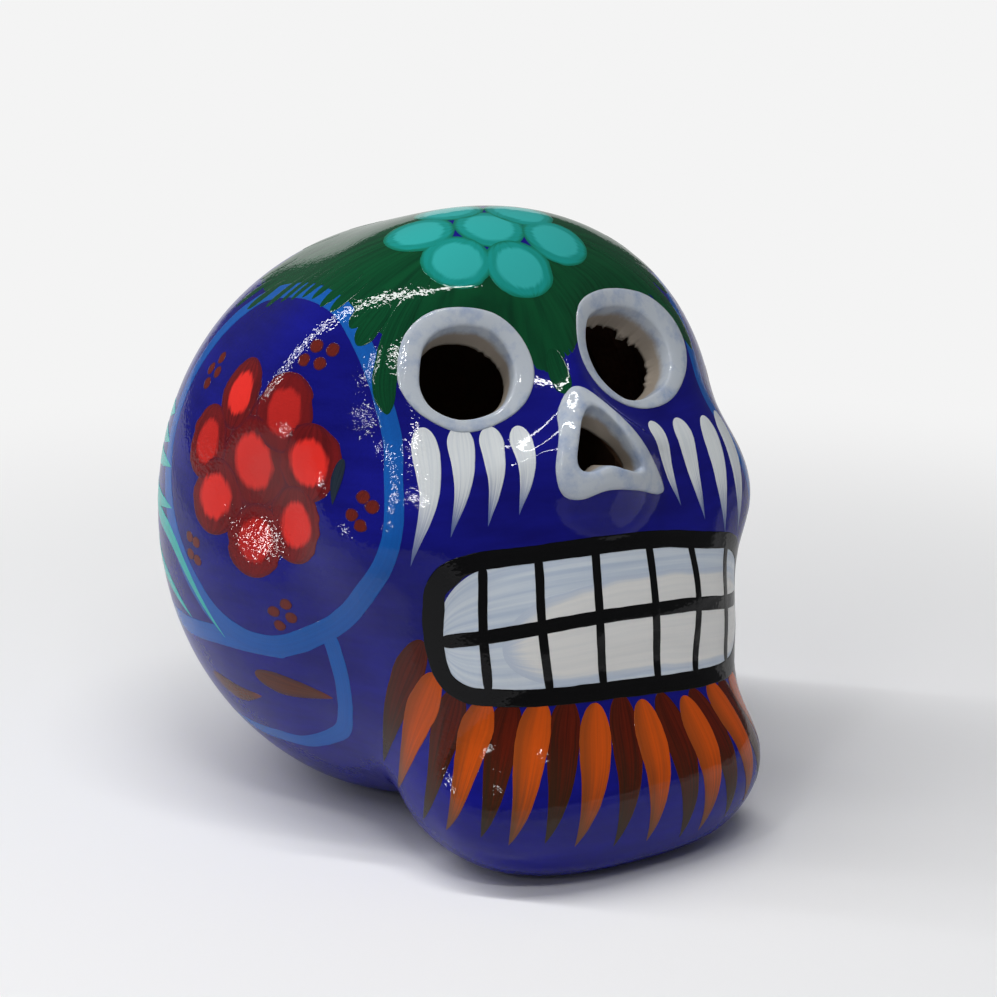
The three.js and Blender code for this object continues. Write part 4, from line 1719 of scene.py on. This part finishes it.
@dataclass
class Beard:
    """Beard marks in a fan under the mouth, brown ones first and orange ones between them.

    Each mark has its start and its end, along the arc round the muzzle and along Z.
    """

    charts: Charts
    brush: Brush
    brown: tuple[tuple[float, ...], ...] = (
        (-33.8, 40, -49.5, 16), (-27.8, 32.7, -35, 9.9), (-19.3, 31, -22.3, 10.3), (-10.6, 30.5, -14, 9.6),
        (-2.1, 29.8, -5.5, 7.2), (4.4, 28.8, 4.1, 5.6), (10.1, 28, 11.5, 6.5), (17.3, 27.5, 20, 9),
        (25, 28, 30, 11))
    brown_coat: Coat = Coat(0.035, 0.016, around=28)
    orange: tuple[tuple[float, ...], ...] = (
        (-31.4, 35, -45, 12.4), (-23.3, 31.2, -28.6, 10), (-14.8, 30.8, -18.5, 9.4), (-6.3, 29.2, -10.4, 8.5),
        (1.1, 28.4, -1, 6.8), (8.2, 27.4, 7, 5.8), (14.3, 28, 15.5, 7.5), (21.7, 27.5, 24, 11))
    orange_coat: Coat = Coat(0.05, 0.034, around=28)
    half_width: float = 2.75
    bend: float = 0.4
    samples: int = 64

    def _marks(self, rows: Sequence[tuple[float, ...]]) -> list[Mark]:
        """Marks of one colour.

        Args:
            rows: Start and end of each mark.

        Returns:
            The marks.
        """
        marks = []
        for a0, z0, a1, z1 in rows:
            path = [(a0, z0), (a0 + (a1 - a0) * self.bend, (z0 + z1) / 2), (a1, z1)]
            marks.append(Mark(self.charts.wrap(path), self.half_width, Touch.BEARD, samples=self.samples))
        return marks

    def build(self) -> None:
        """Paint the two colours."""
        self.brush.paint("beard_brown", self._marks(self.brown), BEARD_BROWN, self.brown_coat, seed=20)
        self.brush.paint("beard_orange", self._marks(self.orange), BEARD_ORANGE, self.orange_coat, seed=21)


# The studio

class Tube(NamedTuple):
    """A level lamp tube: its power, its place right of, above and in front of the skull, and its size.

    The turn is how far it runs towards the camera for each metre to the right.
    """

    name: str
    watts: float
    place: tuple[float, float, float]
    length: float
    width: float
    turn: float


@dataclass(frozen=True)
class MattSheet:
    """Matt paper or laminate: pale and even, without gloss.

    Past the end of the skull's shadow, a camera or a reflection sees an even pale colour.
    """

    name: str
    colour: str
    far_colour: str
    far_start: float
    far_end: float
    roughness: float = 0.7

    def material(self) -> bpy.types.Material:
        """Build the sheet's material.

        Returns:
            The material.
        """
        material = empty_material(self.name)
        add = partial(add_node, material.node_tree)
        shader = add("ShaderNodeBsdfPrincipled", {
            "Base Color": linear_rgba(self.colour), "Roughness": self.roughness})
        even = add("ShaderNodeEmission", {"Color": linear_rgba(self.far_colour)})
        path = add("ShaderNodeLightPath").node.outputs
        seen = path["Is Camera Ray"]
        for other in ("Is Glossy Ray", "Is Transmission Ray"):
            seen = add(MATH, [seen, path[other]], operation="MAXIMUM")
        away = add(VECTOR_MATH, [add("ShaderNodeTexCoord", output="Object")], "Value", operation="LENGTH")
        far = add(MAP_RANGE, {"Value": away, "From Min": self.far_start, "From Max": self.far_end},
                  interpolation_type="SMOOTHSTEP")
        share = add(MATH, [seen, far], operation="MULTIPLY")
        add("ShaderNodeOutputMaterial", {"Surface": add("ShaderNodeMixShader", [share, shader, even])})
        return material


@dataclass
class Studio:
    """Sheet of white paper on a pale table, thin lamp tubes, and a camera at the photograph's angle.

    The camera's sizes are in millimetres and degrees, and all others in metres.
    """

    azimuth: float = -33.74
    elevation: float = 15.3
    distance: float = 530.6
    angle: float = 18.0
    target: tuple[float, float, float] = (0, 3.02, 54.5)
    shift_right: float = 7.87
    shift_up: float = -4.97
    clip_start: float = 0.01
    clip_end: float = 20.0
    paper: MattSheet = MattSheet("matt_white_paper", "#f8f8f9", "#f4f4f4", 0.08, 0.3)
    paper_front: float = 0.1
    paper_half: float = 0.3
    paper_flat: float = 0.7
    paper_rise: float = 0.3
    paper_steps: int = 15
    laminate: MattSheet = MattSheet("matt_pale_laminate", "#c6c7ca", "#cfcfd2", 0.2, 0.7)
    table_half: float = 3.0
    table_height: float = -0.001
    room_colour: str = "#f4f6fa"
    room_strength: float = 0.14
    tubes: tuple[Tube, ...] = (
        Tube("overhead_tube", 12.5, (-1.375, 0.63, -0.27), 3.35, 0.03, 0.3),
        Tube("front_tube", 1.2, (0.1, 0.63, 0.6), 0.33, 0.014, 0.3),
        Tube("far_side_tube", 0.8, (-0.6, 0.63, 1.22), 0.25, 0.014, 0.0),
        Tube("near_side_tube", 0.8, (-0.32, 0.63, 0.62), 0.37, 0.014, -1.31),
        Tube("low_tube", 0.8, (-1.46, 0.07, 0.32), 0.16, 0.03, 20.0),
    )

    def directions(self) -> tuple[Points, Points, Points, Points]:
        """The camera's own directions.

        Returns:
            Its right, its up, its back, and level towards it.
        """
        a, e = math.radians(self.azimuth), math.radians(self.elevation)
        near = np.array([math.sin(a), -math.cos(a), 0])
        back = near * math.cos(e) + np.array([0, 0, math.sin(e)])
        right = np.array([math.cos(a), math.sin(a), 0])
        return right, np.cross(back, right), back, near

    def place(self, name: str, data: bpy.types.ID, where: Points, axes: Sequence[Points]) -> bpy.types.Object:
        """Put a lamp or a camera in the scene.

        Args:
            name: Name of the object.
            data: The lamp's or the camera's data.
            where: Its place.
            axes: Its X, Y and Z directions.

        Returns:
            The object.
        """
        made = bpy.data.objects.new(name, data)
        bpy.context.scene.collection.objects.link(made)
        made.matrix_world = Matrix.Translation(Vector(where)) @ Matrix(axes).transposed().to_4x4()
        return made

    def camera(self) -> None:
        """Put the camera where the photograph was taken from."""
        right, up, back, _ = self.directions()
        where = np.array(self.target) + right * self.shift_right + up * self.shift_up + back * self.distance
        data = bpy.data.cameras.new("photograph_camera")
        data.angle = math.radians(self.angle)
        data.clip_start = self.clip_start
        data.clip_end = self.clip_end
        bpy.context.scene.camera = self.place(data.name, data, where * MM, (right, up, back))

    def lay(self, name: str, corners: Points, faces: Sequence[tuple[int, ...]], sheet: MattSheet) -> None:
        """Lay a sheet of the studio.

        Args:
            name: Name of the object.
            corners: Its corners.
            faces: Its faces.
            sheet: Its finish.
        """
        mesh = mesh_from(name, corners / MM, faces)
        mesh.shade_smooth()
        mesh.materials.append(sheet.material())
        object_from(mesh)

    def sweep(self) -> None:
        """Lay white paper that ends just in front of the picture and curves up far behind the skull."""
        right, _, _, near = self.directions()
        turns = np.linspace(0, math.pi / 2, self.paper_steps + 1)
        profile = [(self.paper_front, 0.0)]
        profile += [(-self.paper_flat - self.paper_rise * math.sin(t), self.paper_rise * (1 - math.cos(t)))
                    for t in turns]
        rows = [near * d + right * side * self.paper_half + np.array([0, 0, z]) for d, z in profile
                for side in (-1, 1)]
        faces = [(2 * k, 2 * k + 1, 2 * k + 3, 2 * k + 2) for k in range(len(profile) - 1)]
        self.lay("paper_sweep", np.array(rows), faces, self.paper)

    def table(self) -> None:
        """Put a wide pale table under the paper."""
        half, z = self.table_half, self.table_height
        corners = np.array([(-half, -half, z), (half, -half, z), (half, half, z), (-half, half, z)])
        self.lay("pale_table", corners, [(0, 1, 2, 3)], self.laminate)

    def world(self) -> None:
        """Give an even pale surrounding light."""
        world = bpy.data.worlds.new("pale_room")
        world.use_nodes = True
        tree = world.node_tree
        tree.nodes.clear()
        light = add_node(tree, "ShaderNodeBackground", {
            "Color": linear_rgba(self.room_colour), "Strength": self.room_strength})
        add_node(tree, "ShaderNodeOutputWorld", {"Surface": light})
        bpy.context.scene.world = world

    def hang(self, tube: Tube) -> None:
        """Hang a lamp tube, turned so that it shines at the skull.

        Args:
            tube: The tube.
        """
        right, _, _, near = self.directions()
        along = right + near * tube.turn
        along /= np.linalg.norm(along)
        offset = right * tube.place[0] + np.array([0, 0, tube.place[1]]) + near * tube.place[2]
        away = offset - along * offset.dot(along)
        away /= np.linalg.norm(away)
        data = bpy.data.lights.new(tube.name, "AREA")
        data.shape = "RECTANGLE"
        data.size = tube.length
        data.size_y = tube.width
        data.energy = tube.watts
        where = np.array(self.target) * MM + offset
        self.place(tube.name, data, where, (along, np.cross(away, along), away)).visible_camera = False

    def build(self) -> None:
        """Set up the studio."""
        self.camera()
        self.sweep()
        self.table()
        self.world()
        for tube in self.tubes:
            self.hang(tube)
        bpy.context.scene.view_settings.view_transform = "Standard"


def main() -> None:
    """Build the clay, paint it, and set up the studio."""
    logging.basicConfig(level=logging.INFO, format="%(message)s")
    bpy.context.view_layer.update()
    form = SkullForm()
    charts = Charts(form)
    shell = ClayShell(form)
    lips = [
        HoleLip(form, "right_eye_lip", "right_eye_rim", form.eye.mirrored(), *RIGHT_EYE, seed=5, tear=0.15),
        HoleLip(form, "left_eye_lip", "left_eye_rim", form.eye, *LEFT_EYE, seed=6, tear=0.9),
        HoleLip(form, "nose_lip", "nose_rim", form.nose, *NOSE, seed=7, tear=0.25, crest=0.7),
    ]
    shell.build(lips, GroundPaint().material())
    white = LipPaint().material()
    for lip in lips:
        lip.build(white)
    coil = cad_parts["seam_coil"]
    coil.data.materials.clear()
    coil.data.materials.append(BareClay().material())
    LOG.info("seam_coil has its clay")
    skin = shell.ball("brush_skin", shell.fine, 0)
    brush = Brush(skin, form)
    CrownFlower(charts, brush, lips).build()
    SidePanel(charts, brush, Look.RIGHT, smear=((-22, 66.9), (-22.1, 63.3), (-22.6, 60))).build()
    SidePanel(charts, brush, Look.LEFT).build()
    BackFlower(charts, brush).build()
    Lashes(charts, brush).build()
    Mouth(charts, brush).build()
    Beard(charts, brush).build()
    remove_with_mesh(skin)
    Studio().build()
    bpy.context.view_layer.update()


if __name__ == "__main__":
    main()
